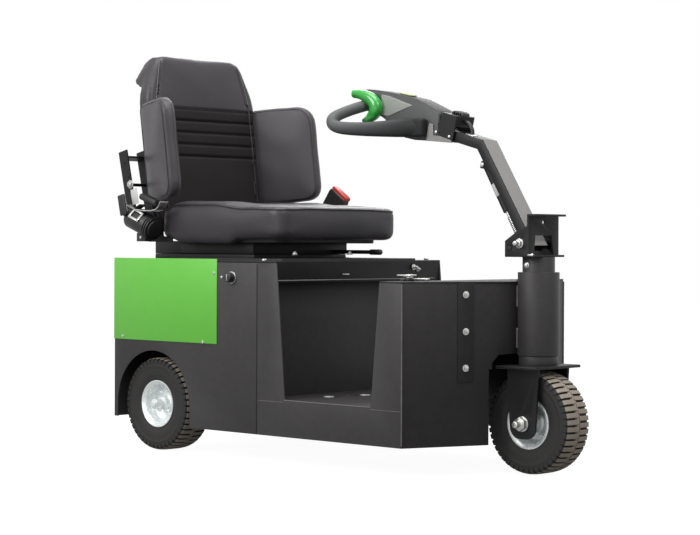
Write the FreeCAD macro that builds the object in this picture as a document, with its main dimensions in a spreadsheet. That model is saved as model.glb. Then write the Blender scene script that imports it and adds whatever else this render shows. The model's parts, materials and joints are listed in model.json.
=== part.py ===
"""Electric tow tug with a seat and a tiller: three wheels, a folded steel body and a step-through footwell.

Frame: +X forward, +Y to the driver's left, +Z up, millimetres. The origin is on the ground, under the
middle of the machine's length and width.
"""
import FreeCAD, Part
import math
import os
import Sketcher
from FreeCAD import Placement, Rotation, Vector

doc = FreeCAD.newDocument("tow_tug")
sheet = doc.addObject("Spreadsheet::Sheet", "Sizes")
X_AXIS, Y_AXIS, Z_AXIS = Vector(1, 0, 0), Vector(0, 1, 0), Vector(0, 0, 1)
SEAT_GAP = 0.3
RUN_GAP = 0.05


# ---------------------------------------------------------------- sizes that carry their own formula
class Size:
    """A number together with the spreadsheet formula that gives it."""

    def __init__(self, text, value):
        self.text = text
        self.value = value

    def join(self, sign, other, value, swapped=False):
        first, second = (written(other), self.text) if swapped else (self.text, written(other))
        return Size("(%s %s %s)" % (first, sign, second), value)

    def __add__(self, other):
        return self.join("+", other, self.value + number(other))

    def __radd__(self, other):
        return self.join("+", other, self.value + number(other), swapped=True)

    def __sub__(self, other):
        return self.join("-", other, self.value - number(other))

    def __rsub__(self, other):
        return self.join("-", other, number(other) - self.value, swapped=True)

    def __mul__(self, other):
        return self.join("*", other, self.value * number(other))

    def __rmul__(self, other):
        return self.join("*", other, self.value * number(other), swapped=True)

    def __truediv__(self, other):
        return self.join("/", other, self.value / number(other))

    def __neg__(self):
        return Size("(0 - %s)" % self.text, -self.value)


def number(item):
    return item.value if isinstance(item, Size) else float(item)


def written(item):
    return item.text if isinstance(item, Size) else repr(float(item))


def cosine(angle):
    return Size("cos(%s)" % angle.text, math.cos(math.radians(angle.value)))


def sine(angle):
    return Size("sin(%s)" % angle.text, math.sin(math.radians(angle.value)))


def angle_of(run, rise):
    """The angle of a sloping line, in degrees, from its run and its rise."""
    text = "(atan2(%s; %s) / 1 deg)" % (written(rise), written(run))
    return Size(text, math.degrees(math.atan2(number(rise), number(run))))


def length_of(run, rise):
    text = "sqrt(%s ^ 2 + %s ^ 2)" % (written(run), written(rise))
    return Size(text, math.hypot(number(run), number(rise)))


row = 0


def size(alias, value, note=""):
    """Writes one driving dimension into the sheet and returns it."""
    global row
    row += 1
    sheet.set("A%d" % row, alias)
    sheet.set("B%d" % row, str(value))
    sheet.set("C%d" % row, note)
    sheet.setAlias("B%d" % row, alias)
    return Size("Sizes." + alias, float(value))


# ---------------------------------------------------------------- driving dimensions
wheelbase = size("wheelbase", 1190, "rear axle to steering axis")
rear_axle_x = size("rear_axle_x", -520)
tyre_diameter = size("tyre_diameter", 280)
tyre_width = size("tyre_width", 104)
rim_diameter = size("rim_diameter", 140, "over the flanges")
rim_width = size("rim_width", 92)
hub_diameter = size("hub_diameter", 54)
hub_length = size("hub_length", 112)
axle_diameter = size("axle_diameter", 25)
track = size("track", 574, "between the rear tyres' middles")

body_width = size("body_width", 714, "over the side sheets")
body_rear_x = size("body_rear_x", -690)
seam_x = size("seam_x", -66, "front wall of the battery box")
corner_back = size("corner_back", 184, "front corner of the side sheets, behind the steering axis")
body_bottom = size("body_bottom", 80)
skirt_bottom = size("skirt_bottom", 95, "behind the rear wheels")
deck_top = size("deck_top", 576)
cover_top = size("cover_top", 580)
deck_front_x = size("deck_front_x", 12)
skirt_height = size("skirt_height", 56, "front edge of the deck")
body_sheet = size("body_sheet", 4)
deck_plate_thickness = size("deck_plate_thickness", 6)
doubler_thickness = size("doubler_thickness", 6, "second plate on the deck, round the front of the seat's rails")
doubler_left_inset = size("doubler_left_inset", 112)
arch_radius = size("arch_radius", 162)
arch_shift = size("arch_shift", 8, "arch middle ahead of the axle")
cover_sheet = size("cover_sheet", 3)
cover_front_x = size("cover_front_x", -231)
cover_bottom = size("cover_bottom", 332)

sill_top = size("sill_top", 186)
step_rear_low_x = size("step_rear_low_x", 46)
step_rear_high_x = size("step_rear_high_x", 17)
step_front_low_back = size("step_front_low_back", 111, "behind the front corner")
step_front_high_back = size("step_front_high_back", 81, "behind the front corner")
floor_slot_length = size("floor_slot_length", 80)
floor_slot_width = size("floor_slot_width", 22)
floor_slot_x = size("floor_slot_x", 62)
floor_slot_y = size("floor_slot_y", 58)
floor_slot_pitch = size("floor_slot_pitch", 116)

nose_top = size("nose_top", 525)
nose_angle = size("nose_angle", 66.3, "sweep of the nose plates from the X axis")
wheel_well_start = size("wheel_well_start", 262, "along the nose plate from the corner")
fork_well_start = size("fork_well_start", 272)
wheel_well_shoulder = size("wheel_well_shoulder", 286)
wheel_well_top = size("wheel_well_top", 333)
strip_start = size("strip_start", 166)
strip_width = size("strip_width", 49)
strip_bottom = size("strip_bottom", 252)
strip_sheet = size("strip_sheet", 3)

head_tube_diameter = size("head_tube_diameter", 114.3)
head_tube_bottom = size("head_tube_bottom", 323)
head_tube_top = size("head_tube_top", 551)
bush_length = size("bush_length", 40)
stem_diameter = size("stem_diameter", 88.9)
stem_wall = size("stem_wall", 6)

fork_plate_length = size("fork_plate_length", 137, "along X")
fork_plate_width = size("fork_plate_width", 202, "along Y")
fork_plate_thickness = size("fork_plate_thickness", 8)
fork_plate_top = size("fork_plate_top", 297)
fork_leg_inside = size("fork_leg_inside", 62, "leg's inner face from the middle")
fork_leg_thickness = size("fork_leg_thickness", 8)
fork_leg_width = size("fork_leg_width", 108)
fork_leg_foot = size("fork_leg_foot", 42, "radius of the leg's end around the axle")
axle_nut_diameter = size("axle_nut_diameter", 36)
axle_nut_length = size("axle_nut_length", 14)

bracket_bottom = size("bracket_bottom", 592)
bracket_top = size("bracket_top", 709)
bracket_width = size("bracket_width", 134)
bracket_plate = size("bracket_plate", 6)
bracket_rear_back = size("bracket_rear_back", 65, "behind the steering axis")
bracket_web_ahead = size("bracket_web_ahead", 17, "ahead of the steering axis")
bracket_flange = size("bracket_flange", 25)
ear_low = size("ear_low", 636)
ear_high = size("ear_high", 677)
web_window_half = size("web_window_half", 36)
web_window_top = size("web_window_top", 651)
web_hole_z = size("web_hole_z", 687)
web_hole_diameter = size("web_hole_diameter", 11)

pivot_back = size("pivot_back", 14, "behind the steering axis")
pivot_z = size("pivot_z", 629)
pivot_bolt_diameter = size("pivot_bolt_diameter", 16)
pivot_head_diameter = size("pivot_head_diameter", 28)
pivot_head_length = size("pivot_head_length", 12)
arm_angle = size("arm_angle", 58.4, "lower part of the arm above the horizontal")
arm_length = size("arm_length", 323)
crank_angle = size("crank_angle", 15.5, "upper part of the arm above the horizontal")
crank_length = size("crank_length", 140)
arm_width = size("arm_width", 64)
arm_depth = size("arm_depth", 29)

strut_top_back = size("strut_top_back", 185, "behind the steering axis")
strut_top_z = size("strut_top_z", 848)
strut_pin_back = size("strut_pin_back", 50, "behind the steering axis")
strut_pin_z = size("strut_pin_z", 614)
strut_diameter = size("strut_diameter", 22)
strut_length = size("strut_length", 150, "cylinder, from its upper pin")
rod_diameter = size("rod_diameter", 10)
strut_pin_diameter = size("strut_pin_diameter", 8)
strut_eye_diameter = size("strut_eye_diameter", 18)
strut_eye_width = size("strut_eye_width", 14)

clamp_rear_back = size("clamp_rear_back", 324, "behind the steering axis")
clamp_front_back = size("clamp_front_back", 260, "behind the steering axis")
clamp_bottom = size("clamp_bottom", 914)
clamp_top = size("clamp_top", 998)
clamp_width = size("clamp_width", 80)
clamp_plate = size("clamp_plate", 5)
head_rear_back = size("head_rear_back", 625, "behind the steering axis")
head_width = size("head_width", 84)
head_top = size("head_top", 1083)
grip_diameter = size("grip_diameter", 36)
grip_half_width = size("grip_half_width", 182)
paddle_thickness = size("paddle_thickness", 20)

seat_rear_x = size("seat_rear_x", -595)
seat_front_x = size("seat_front_x", -68)
seat_width = size("seat_width", 524)
cushion_bottom = size("cushion_bottom", 632)
cushion_top = size("cushion_top", 750)
cushion_round = size("cushion_round", 40)
seat_frame_rear_x = size("seat_frame_rear_x", -682)
seat_frame_front_x = size("seat_frame_front_x", -240)
seat_frame_width = size("seat_frame_width", 400)
seat_rail_height = size("seat_rail_height", 16)
seat_frame_wall = size("seat_frame_wall", 30)
back_hinge_x = size("back_hinge_x", -634)
back_hinge_z = size("back_hinge_z", 752)
recline = size("recline", 8.3)
back_width = size("back_width", 428)
back_depth = size("back_depth", 68)
back_height = size("back_height", 470)
shoulder_height = size("shoulder_height", 312)
headrest_width = size("headrest_width", 330)
headrest_lip = size("headrest_lip", 28, "back edge behind the shell")
wing_depth = size("wing_depth", 165, "how far the wing reaches ahead of the back")
wing_thickness = size("wing_thickness", 58)
wing_splay = size("wing_splay", 26)

reel_x = size("reel_x", -622)
reel_z = size("reel_z", 686)
reel_diameter = size("reel_diameter", 70)
reel_length = size("reel_length", 118)
reel_slope = size("reel_slope", 20)
side_clearance = size("side_clearance", 3)
belt_plate = size("belt_plate", 5)
belt_bracket_height = size("belt_bracket_height", 215)
belt_bracket_width = size("belt_bracket_width", 38)
belt_bracket_depth = size("belt_bracket_depth", 70)

battery_length = size("battery_length", 262)
battery_width = size("battery_width", 350)
battery_height = size("battery_height", 250)
rail_width = size("rail_width", 40)
rail_height = size("rail_height", 60)
rail_y = size("rail_y", 200, "middle of each chassis rail")
tray_rear_x = size("tray_rear_x", -344)
axle_tube_diameter = size("axle_tube_diameter", 88)
axle_case_diameter = size("axle_case_diameter", 150)
axle_case_width = size("axle_case_width", 160)
motor_length = size("motor_length", 150)
motor_diameter = size("motor_diameter", 120)

coupling_reach = size("coupling_reach", 120, "behind the rear sheet")
coupling_width = size("coupling_width", 80)
coupling_gap = size("coupling_gap", 40)
coupling_jaw = size("coupling_jaw", 12)
coupling_z = size("coupling_z", 250)
coupling_hole = size("coupling_hole", 26)
coupling_hole_inset = size("coupling_hole_inset", 35)
socket_x = size("socket_x", -169)
socket_z = size("socket_z", 526)
socket_diameter = size("socket_diameter", 30)
doc.recompute()

# places worked out from the driving dimensions
steer_x = rear_axle_x + wheelbase
corner_x = steer_x - corner_back
step_front_low_x = corner_x - step_front_low_back
step_front_high_x = corner_x - step_front_high_back
bracket_rear_x = steer_x - bracket_rear_back
bracket_web_x = steer_x + bracket_web_ahead
pivot_x = steer_x - pivot_back
strut_top_x = steer_x - strut_top_back
strut_pin_x = steer_x - strut_pin_back
clamp_rear_x = steer_x - clamp_rear_back
clamp_front_x = steer_x - clamp_front_back
head_rear_x = steer_x - head_rear_back
wheel_z = tyre_diameter / 2
rail_bottom = wheel_z + axle_tube_diameter / 2
side_y = body_width / 2
inner_y = side_y - body_sheet
deck_under = deck_top - deck_plate_thickness
bead_half = rim_width / 2 - 6
arm_cos, arm_sin = cosine(arm_angle), sine(arm_angle)
crank_cos, crank_sin = cosine(crank_angle), sine(crank_angle)
bend_x = pivot_x - arm_length * arm_cos
bend_z = pivot_z + arm_length * arm_sin


# ---------------------------------------------------------------- building helpers
subparts = []


def bind(item, path, amount):
    """Ties one property to its formula, or sets it when it is a plain number."""
    if isinstance(amount, Size):
        item.setExpression(path, amount.text)
    elif path.startswith("Placement.Base."):
        base = item.Placement.Base
        setattr(base, path[-1], float(amount))
        item.Placement = Placement(base, item.Placement.Rotation)
    else:
        setattr(item, path, amount)


def move_to(item, place):
    for letter, amount in zip("xyz", place):
        bind(item, "Placement.Base." + letter, amount)
    return item


def turn(item, axis, angle):
    """Turns an item about an axis through its own origin, by a formula."""
    item.Placement = Placement(item.Placement.Base, Rotation(axis, angle.value))
    item.setExpression("Placement.Rotation.Angle", angle.text)
    return item


def box(name, low, high):
    """A block between two corners."""
    block = doc.addObject("Part::Box", name)
    for side, start, end in zip(("Length", "Width", "Height"), low, high):
        bind(block, side, end - start)
    return move_to(block, low)


def rod(name, diameter, length, start, axis="Z"):
    """A round bar that starts at a point and runs along an axis."""
    bar = doc.addObject("Part::Cylinder", name)
    bind(bar, "Radius", diameter / 2)
    bind(bar, "Height", length)
    if axis == "Y":
        bar.Placement = Placement(Vector(), Rotation(X_AXIS, -90))
    if axis == "X":
        bar.Placement = Placement(Vector(), Rotation(Y_AXIS, 90))
    return move_to(bar, start)


def across(name, diameter, half, x, z):
    """A round bar along Y, from -half to +half."""
    return rod(name, diameter, half * 2, (x, -half, z), "Y")


def fuse(name, *pieces):
    joined = doc.addObject("Part::MultiFuse", name)
    joined.Shapes = list(pieces)
    return joined


def cut(name, piece, *tools):
    result = doc.addObject("Part::Cut", name)
    result.Base = piece
    result.Tool = tools[0] if len(tools) == 1 else fuse(name + "_tools", *tools)
    return result


def mirror(name, piece):
    """The same piece on the machine's other side."""
    copy = doc.addObject("Part::Mirroring", name)
    copy.Source = piece
    copy.Normal = Y_AXIS
    return copy


def group(name, *pieces):
    both = doc.addObject("Part::Compound", name)
    both.Links = list(pieces)
    return both


def outline(body, name, plane, points):
    """A closed sketch on one of the body's own planes, each corner tied to its formula."""
    sketch = body.newObject("Sketcher::SketchObject", name)
    support = [feature for feature in body.Origin.OriginFeatures if feature.Role == plane + "_Plane"]
    sketch.AttachmentSupport = [(support[0], "")]
    sketch.MapMode = "FlatFace"
    corners = [Vector(number(a), number(b), 0) for a, b in points]
    for index, corner in enumerate(corners):
        sketch.addGeometry(Part.LineSegment(corner, corners[(index + 1) % len(corners)]), False)
    for index in range(len(corners)):
        sketch.addConstraint(Sketcher.Constraint("Coincident", index, 2, (index + 1) % len(corners), 1))
    for index, point in enumerate(points):
        for kind, axis, amount in (("DistanceX", -2, point[0]), ("DistanceY", -1, point[1])):
            if number(amount) == 0:
                sketch.addConstraint(Sketcher.Constraint("PointOnObject", index, 1, axis))
                continue
            held = sketch.addConstraint(Sketcher.Constraint(kind, -1, 1, index, 1, number(amount)))
            if isinstance(amount, Size):
                sketch.setExpression("Constraints[%d]" % held, amount.text)
    return sketch


def plate(name, plane, points, thickness):
    """A flat piece: its outline on a plane, thickened along the plane's normal (-Y for XZ)."""
    body = doc.addObject("PartDesign::Body", name)
    sketch = outline(body, name + "_outline", plane, points)
    pad = body.newObject("PartDesign::Pad", name + "_pad")
    pad.Profile = sketch
    bind(pad, "Length", thickness)
    doc.recompute()
    return body


def turned(name, points):
    """A piece turned about the Y axis from its (y, radius) outline."""
    body = doc.addObject("PartDesign::Body", name)
    sketch = outline(body, name + "_outline", "YZ", points)
    ring = body.newObject("PartDesign::Revolution", name + "_turn")
    ring.Profile = sketch
    ring.ReferenceAxis = (sketch, ["H_Axis"])
    ring.Angle = 360
    doc.recompute()
    return body


def round_edges(body, name, radius, wanted):
    """Rounds the edges of the body that the wanted function picks."""
    tip = body.Tip
    picked = ["Edge%d" % (i + 1) for i, edge in enumerate(tip.Shape.Edges) if wanted(edge)]
    fillet = body.newObject("PartDesign::Fillet", name)
    fillet.Base = (tip, picked)
    bind(fillet, "Radius", radius)
    doc.recompute()
    return body


def runs_along(direction):
    """Picks the straight edges that run along a direction."""
    def wanted(edge):
        if edge.Curve.TypeId != "Part::GeomLine":
            return False
        return abs(edge.tangentAt(edge.FirstParameter).dot(direction)) > 0.999
    return wanted


def done(piece, label):
    piece.Label = label
    subparts.append(piece)
    return piece


# ---------------------------------------------------------------- battery box and rear body
arch_x = rear_axle_x + arch_shift


def side_panel():
    sheet_block = box("side_panel_sheet", (body_rear_x, -side_y, body_bottom), (seam_x, -inner_y, deck_under))
    arch_round = rod("arch_round", arch_radius * 2, body_sheet * 3, (arch_x, -side_y - body_sheet, wheel_z), "Y")
    arch_legs = box("arch_legs", (arch_x - arch_radius, -side_y - body_sheet, 0),
                    (arch_x + arch_radius, -inner_y + body_sheet, wheel_z))
    short_skirt = box("short_skirt", (body_rear_x - 1, -side_y - body_sheet, 0),
                      (arch_x, -inner_y + body_sheet, skirt_bottom))
    return cut("side_panel", sheet_block, arch_round, arch_legs, short_skirt)


right_panel = done(side_panel(), "side_panel_right")
done(mirror("left_panel", right_panel), "side_panel_left")

rear_sheet = box("rear_sheet", (body_rear_x, -inner_y, skirt_bottom), (body_rear_x + body_sheet, inner_y, deck_under))
done(rear_sheet, "rear_panel")

deck_flat = box("deck_flat", (body_rear_x, -side_y, deck_under), (seam_x + body_sheet, side_y, deck_top))
deck_nose = box("deck_nose", (seam_x, -side_y, deck_under), (deck_front_x, side_y, deck_top))
deck_skirt = box("deck_skirt", (deck_front_x - body_sheet, -inner_y, deck_under - skirt_height),
                 (deck_front_x, inner_y, deck_under))
doubler_block = box("doubler_block", (seat_frame_front_x - 180, -side_y + 25, deck_top),
                    (deck_front_x - 4, side_y - doubler_left_inset, deck_top + doubler_thickness))
rail_space = box("rail_space", (seat_frame_rear_x, -seat_frame_width / 2 - SEAT_GAP, deck_top - 1),
                 (seat_frame_front_x + SEAT_GAP, seat_frame_width / 2 + SEAT_GAP, deck_top + seat_rail_height))
deck_doubler = cut("deck_doubler", doubler_block, rail_space)
done(fuse("deck", deck_flat, deck_nose, deck_skirt, deck_doubler), "deck_plate")

cover_right = box("cover_right", (body_rear_x, -side_y - cover_sheet, cover_bottom), (cover_front_x, -side_y, cover_top))
done(group("covers", cover_right, mirror("cover_left", cover_right)), "side_covers")

bulkhead = box("bulkhead", (seam_x, -inner_y, body_bottom), (seam_x + body_sheet, inner_y, deck_under))
done(bulkhead, "battery_bulkhead")

socket_ring = rod("socket_ring", socket_diameter, 6, (socket_x, -side_y - 6, socket_z), "Y")
socket_mouth = rod("socket_mouth", socket_diameter - 12, 5, (socket_x, -side_y - 7, socket_z), "Y")
done(cut("socket", socket_ring, socket_mouth), "charge_socket")

# ---------------------------------------------------------------- footwell
floor_top = sill_top - 2
floor_under = floor_top - body_sheet
frame_rear_x = seam_x + SEAT_GAP
step_frame = plate("step_frame", "XZ", [
    (frame_rear_x, body_bottom), (corner_x, body_bottom), (corner_x, nose_top - body_sheet),
    (step_front_high_x, nose_top - body_sheet), (step_front_low_x, sill_top), (step_rear_low_x, sill_top),
    (step_rear_high_x, deck_under - skirt_height), (deck_front_x, deck_under), (frame_rear_x, deck_under)],
    body_sheet)
move_to(step_frame, (0, -inner_y, 0))
done(step_frame, "step_frame_right")
done(mirror("step_frame_far", step_frame), "step_frame_left")

floor_sheet = box("floor_sheet", (seam_x + body_sheet, -inner_y, floor_under), (step_front_low_x, inner_y, floor_top))
slot_tools = []
for index in (-1.5, -0.5, 0.5, 1.5):
    middle_y = floor_slot_pitch * index
    slot = box("slot%d" % len(slot_tools),
               (floor_slot_x - floor_slot_width / 2, middle_y - floor_slot_length / 2 + floor_slot_width / 2,
                floor_under - 1),
               (floor_slot_x + floor_slot_width / 2, middle_y + floor_slot_length / 2 - floor_slot_width / 2,
                floor_top + 1))
    ends = [rod("slot_end%d_%d" % (len(slot_tools), side), floor_slot_width, body_sheet + 2,
                (floor_slot_x, middle_y + side * (floor_slot_length / 2 - floor_slot_width / 2), floor_under - 1))
            for side in (-1, 1)]
    slot_tools += [slot] + ends
floor_slotted = cut("floor_slotted", floor_sheet, *slot_tools)
shield = plate("shield", "XZ", [
    (step_front_low_x, floor_under), (step_front_low_x + body_sheet, floor_under),
    (step_front_high_x + body_sheet, nose_top - body_sheet), (step_front_high_x, nose_top - body_sheet)],
    inner_y * 2)
move_to(shield, (0, inner_y, 0))
done(fuse("footwell", floor_slotted, shield), "footwell_pan")

# ---------------------------------------------------------------- nose
nose_length = (side_y + 4) / sine(nose_angle)
nose_low = plate("nose_low", "XZ", [
    (0, body_bottom), (wheel_well_start, body_bottom), (wheel_well_start, wheel_well_shoulder),
    (fork_well_start, wheel_well_shoulder), (fork_well_start, wheel_well_top - 30),
    (fork_well_start + 20, wheel_well_top - 8), (nose_length, wheel_well_top),
    (nose_length, nose_top - body_sheet), (0, nose_top - body_sheet)], body_sheet)
turn(nose_low, Z_AXIS, nose_angle)
move_to(nose_low, (corner_x - body_sheet * sine(nose_angle), -side_y + body_sheet * cosine(nose_angle), 0))
nose_half = box("nose_half", (corner_x - 50, -side_y - 50, 0), (steer_x, -1, nose_top + 50))
nose_side = doc.addObject("Part::Common", "nose_side")
nose_side.Base = nose_low
nose_side.Tool = nose_half
head_core = rod("head_core", head_tube_diameter, nose_top * 2, (steer_x, 0, -nose_top / 2))
nose_right = done(cut("nose_right", nose_side, head_core, step_frame), "nose_plate_right")
done(mirror("nose_left", nose_right), "nose_plate_left")

strip = plate("strip", "XZ", [
    (strip_start, strip_bottom), (strip_start + strip_width, strip_bottom),
    (strip_start + strip_width, nose_top - body_sheet), (strip_start, nose_top - body_sheet)], strip_sheet)
turn(strip, Z_AXIS, nose_angle)
move_to(strip, (corner_x, -side_y, 0))
done(group("strips", strip, mirror("strip_far", strip)), "nose_strips")

nose_end_x = corner_x + nose_length * cosine(nose_angle)
lid = plate("lid", "XY", [
    (step_front_high_x, -side_y), (corner_x, -side_y), (nose_end_x, -4), (nose_end_x, 4), (corner_x, side_y),
    (step_front_high_x, side_y)], body_sheet)
move_to(lid, (0, 0, nose_top - body_sheet))
lid_hole = rod("lid_hole", head_tube_diameter, nose_top, (steer_x, 0, nose_top / 2))
done(cut("nose_cover", lid, lid_hole), "nose_lid")

tube_body = rod("tube_body", head_tube_diameter, head_tube_top - head_tube_bottom, (steer_x, 0, head_tube_bottom))
stem_run = rod("stem_run", stem_diameter + 2 * RUN_GAP, head_tube_top, (steer_x, 0, head_tube_bottom / 2))
tube_relief = rod("tube_relief", stem_diameter + 8, head_tube_top - head_tube_bottom - bush_length * 2,
                  (steer_x, 0, head_tube_bottom + bush_length))
done(cut("head_tube", tube_body, stem_run, tube_relief), "steering_head_tube")

# ---------------------------------------------------------------- chassis rails, battery, rear axle, coupling
rail = box("rail", (body_rear_x + body_sheet, -rail_y - rail_width / 2, rail_bottom),
           (seam_x, -rail_y + rail_width / 2, rail_bottom + rail_height))
tray = box("tray", (tray_rear_x, -inner_y, body_bottom), (seam_x, inner_y, body_bottom + body_sheet))
done(group("rails", rail, mirror("rail_far", rail), tray), "chassis_rails")
battery = box("battery", (tray_rear_x + 10, -battery_width / 2, body_bottom + body_sheet),
              (tray_rear_x + 10 + battery_length, battery_width / 2, body_bottom + body_sheet + battery_height))
done(battery, "battery_pack")

wheel_y = track / 2
axle_tube = across("axle_tube", axle_tube_diameter, wheel_y - hub_length / 2 - 3, rear_axle_x, wheel_z)
axle_case = across("axle_case", axle_case_diameter, axle_case_width / 2, rear_axle_x, wheel_z)
motor = rod("motor", motor_diameter, motor_length, (rear_axle_x, 0, wheel_z), "X")
axle_shafts = across("axle_shafts", axle_diameter, wheel_y + hub_length / 2, rear_axle_x, wheel_z)
done(fuse("drive", axle_tube, axle_case, motor, axle_shafts), "transaxle")

jaw_low = coupling_z - coupling_gap / 2 - coupling_jaw
jaw_rear_x = body_rear_x - coupling_reach
jaw_block = box("jaw_block", (jaw_rear_x, -coupling_width / 2, jaw_low),
                (body_rear_x, coupling_width / 2, jaw_low + coupling_gap + coupling_jaw * 2))
jaw_mouth = box("jaw_mouth", (jaw_rear_x - 1, -coupling_width, jaw_low + coupling_jaw),
                (jaw_rear_x + coupling_reach - 20, coupling_width, jaw_low + coupling_jaw + coupling_gap))
jaw_hole_x = jaw_rear_x + coupling_hole_inset
jaw_hole = rod("jaw_hole", coupling_hole, coupling_z, (jaw_hole_x, 0, coupling_z / 2))
done(cut("jaw", jaw_block, jaw_mouth, jaw_hole), "tow_coupling")

# ---------------------------------------------------------------- seat
rail_top = deck_top + seat_rail_height
frame_half = seat_frame_width / 2
slides_block = box("slides_block", (seat_frame_rear_x, -frame_half, deck_top), (seat_frame_front_x, frame_half, rail_top))
done(slides_block, "seat_slides")
frame_low = rail_top + SEAT_GAP
frame_top = cushion_bottom - SEAT_GAP
frame_block = box("frame_block", (seat_frame_rear_x, -frame_half, frame_low), (seat_frame_front_x, frame_half, frame_top))
frame_hollow = box("frame_hollow", (seat_frame_rear_x + seat_frame_wall, -frame_half + seat_frame_wall, frame_low - 1),
                   (seat_frame_front_x - seat_frame_wall, frame_half - seat_frame_wall, frame_top + 1))
done(cut("seat_base", frame_block, frame_hollow), "seat_frame")

cushion = plate("cushion", "XY", [
    (seat_rear_x, -seat_width / 2), (seat_front_x, -seat_width / 2), (seat_front_x, seat_width / 2),
    (seat_rear_x, seat_width / 2)], cushion_top - cushion_bottom)
round_edges(cushion, "cushion_corners", cushion_round * 1.3, runs_along(Z_AXIS))
round_edges(cushion, "cushion_rim", cushion_round, lambda edge: edge.CenterOfMass.z > cushion_top.value / 8)
move_to(cushion, (0, 0, cushion_bottom))
done(cushion, "seat_cushion")

recline_turn = -recline
back_foot = 80


def recline_body(item):
    turn(item, Y_AXIS, recline_turn)
    return move_to(item, (back_hinge_x, 0, back_hinge_z))


shell = plate("shell", "XZ", [
    (0, -back_foot), (0, shoulder_height), (-16, back_height - 10), (-30, back_height),
    (-back_depth, back_height - 10), (-back_depth - headrest_lip * 0.7, back_height - 36),
    (-back_depth - headrest_lip, shoulder_height + 80), (-back_depth, shoulder_height + 62),
    (-back_depth, -back_foot)], back_width)
move_to(shell, (0, back_width / 2, 0))
corner_cuts = plate("corner_cuts", "YZ", [
    (headrest_width / 2, back_height + 1), (back_width / 2 + 1, shoulder_height),
    (back_width / 2 + 1, back_height + 1)], back_depth * 2)
move_to(corner_cuts, (-back_depth * 1.5, 0, 0))
back_shell = cut("back_shell", shell, corner_cuts, mirror("corner_cut_far", corner_cuts))
done(recline_body(back_shell), "seat_backrest")

wing_root = back_width / 2 + SEAT_GAP
wing_out = sine(wing_splay) * wing_depth
wing = plate("wing", "XY", [
    (-30, -wing_root), (0, -wing_root), (wing_depth, -wing_root - wing_out),
    (wing_depth - 14, -wing_root - wing_out - wing_thickness), (10, -wing_root - wing_thickness - 6),
    (-18, -wing_root - wing_thickness + 8)], shoulder_height - 26)
round_edges(wing, "wing_edges", 18, runs_along(Z_AXIS))
move_to(wing, (0, 0, 12))
wings = group("wings", wing, mirror("wing_far", wing))
done(recline_body(wings), "backrest_wings")

# ---------------------------------------------------------------- belt, buckle and levers
reel_y = -seat_width / 2 - side_clearance - reel_diameter / 2
reel = rod("reel", reel_diameter, reel_length, (0, 0, 0))
turn(reel, Y_AXIS, reel_slope + 90)
move_to(reel, (reel_x - reel_length / 2 * cosine(reel_slope), reel_y, reel_z + reel_length / 2 * sine(reel_slope)))
done(reel, "belt_reel")

belt_x = seat_rear_x - 95
belt_outer = box("belt_outer", (0, reel_y - belt_plate / 2, 0), (belt_bracket_width, reel_y + belt_plate / 2, belt_bracket_height))
belt_inner = box("belt_inner", (0, reel_y + belt_bracket_depth, 0),
                 (belt_bracket_width, reel_y + belt_bracket_depth + belt_plate, belt_bracket_height))
belt_tie = box("belt_tie", (0, reel_y + belt_plate / 2, belt_bracket_height - 26),
               (belt_bracket_width, reel_y + belt_bracket_depth, belt_bracket_height - 20))
belt_bar = rod("belt_bar", 10, belt_bracket_depth, (belt_bracket_width / 2, reel_y + belt_plate / 2,
                                                    belt_bracket_height / 2), "Y")
belt_frame = fuse("belt_frame", belt_outer, belt_inner, belt_tie, belt_bar)
turn(belt_frame, Y_AXIS, recline_turn * 1.6)
move_to(belt_frame, (belt_x, 0, reel_z + 10))
done(cut("belt_arm", belt_frame, reel), "belt_bracket")

buckle_y = seat_width / 2 + side_clearance
buckle_strap = box("buckle_strap", (-395, buckle_y + 8, frame_low), (-355, buckle_y + 12, cushion_top))
buckle_body = box("buckle_body", (-414, buckle_y, cushion_top - 6), (-334, buckle_y + 24, cushion_top + 44))
buckle_foot = box("buckle_foot", (-395, frame_half, frame_low), (-355, buckle_y + 12, frame_low + 5))
done(fuse("buckle", buckle_strap, buckle_body, buckle_foot), "belt_buckle")

slide_lever = rod("slide_lever", 12, 190, (seat_frame_front_x, frame_half - 45, frame_low + 8), "X")
recline_lever = box("recline_lever", (reel_x - 66, reel_y - reel_diameter / 2 - 8, reel_z),
                    (reel_x - 42, reel_y - reel_diameter / 2 - SEAT_GAP, reel_z + 88))
done(group("levers", slide_lever, recline_lever), "seat_levers")

# ---------------------------------------------------------------- steering: stem, bracket, fork, axle
stem_bar = rod("stem_bar", stem_diameter, bracket_bottom - fork_plate_top, (steer_x, 0, fork_plate_top))
stem_bore = rod("stem_bore", stem_diameter - stem_wall * 2, bracket_bottom, (steer_x, 0, fork_plate_top / 2))
thrust_ring = rod("thrust_ring", head_tube_diameter - 8, head_tube_bottom - fork_plate_top - SEAT_GAP,
                  (steer_x, 0, fork_plate_top))
done(cut("stem", fuse("stem_outside", stem_bar, thrust_ring), stem_bore), "steering_stem")

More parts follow.
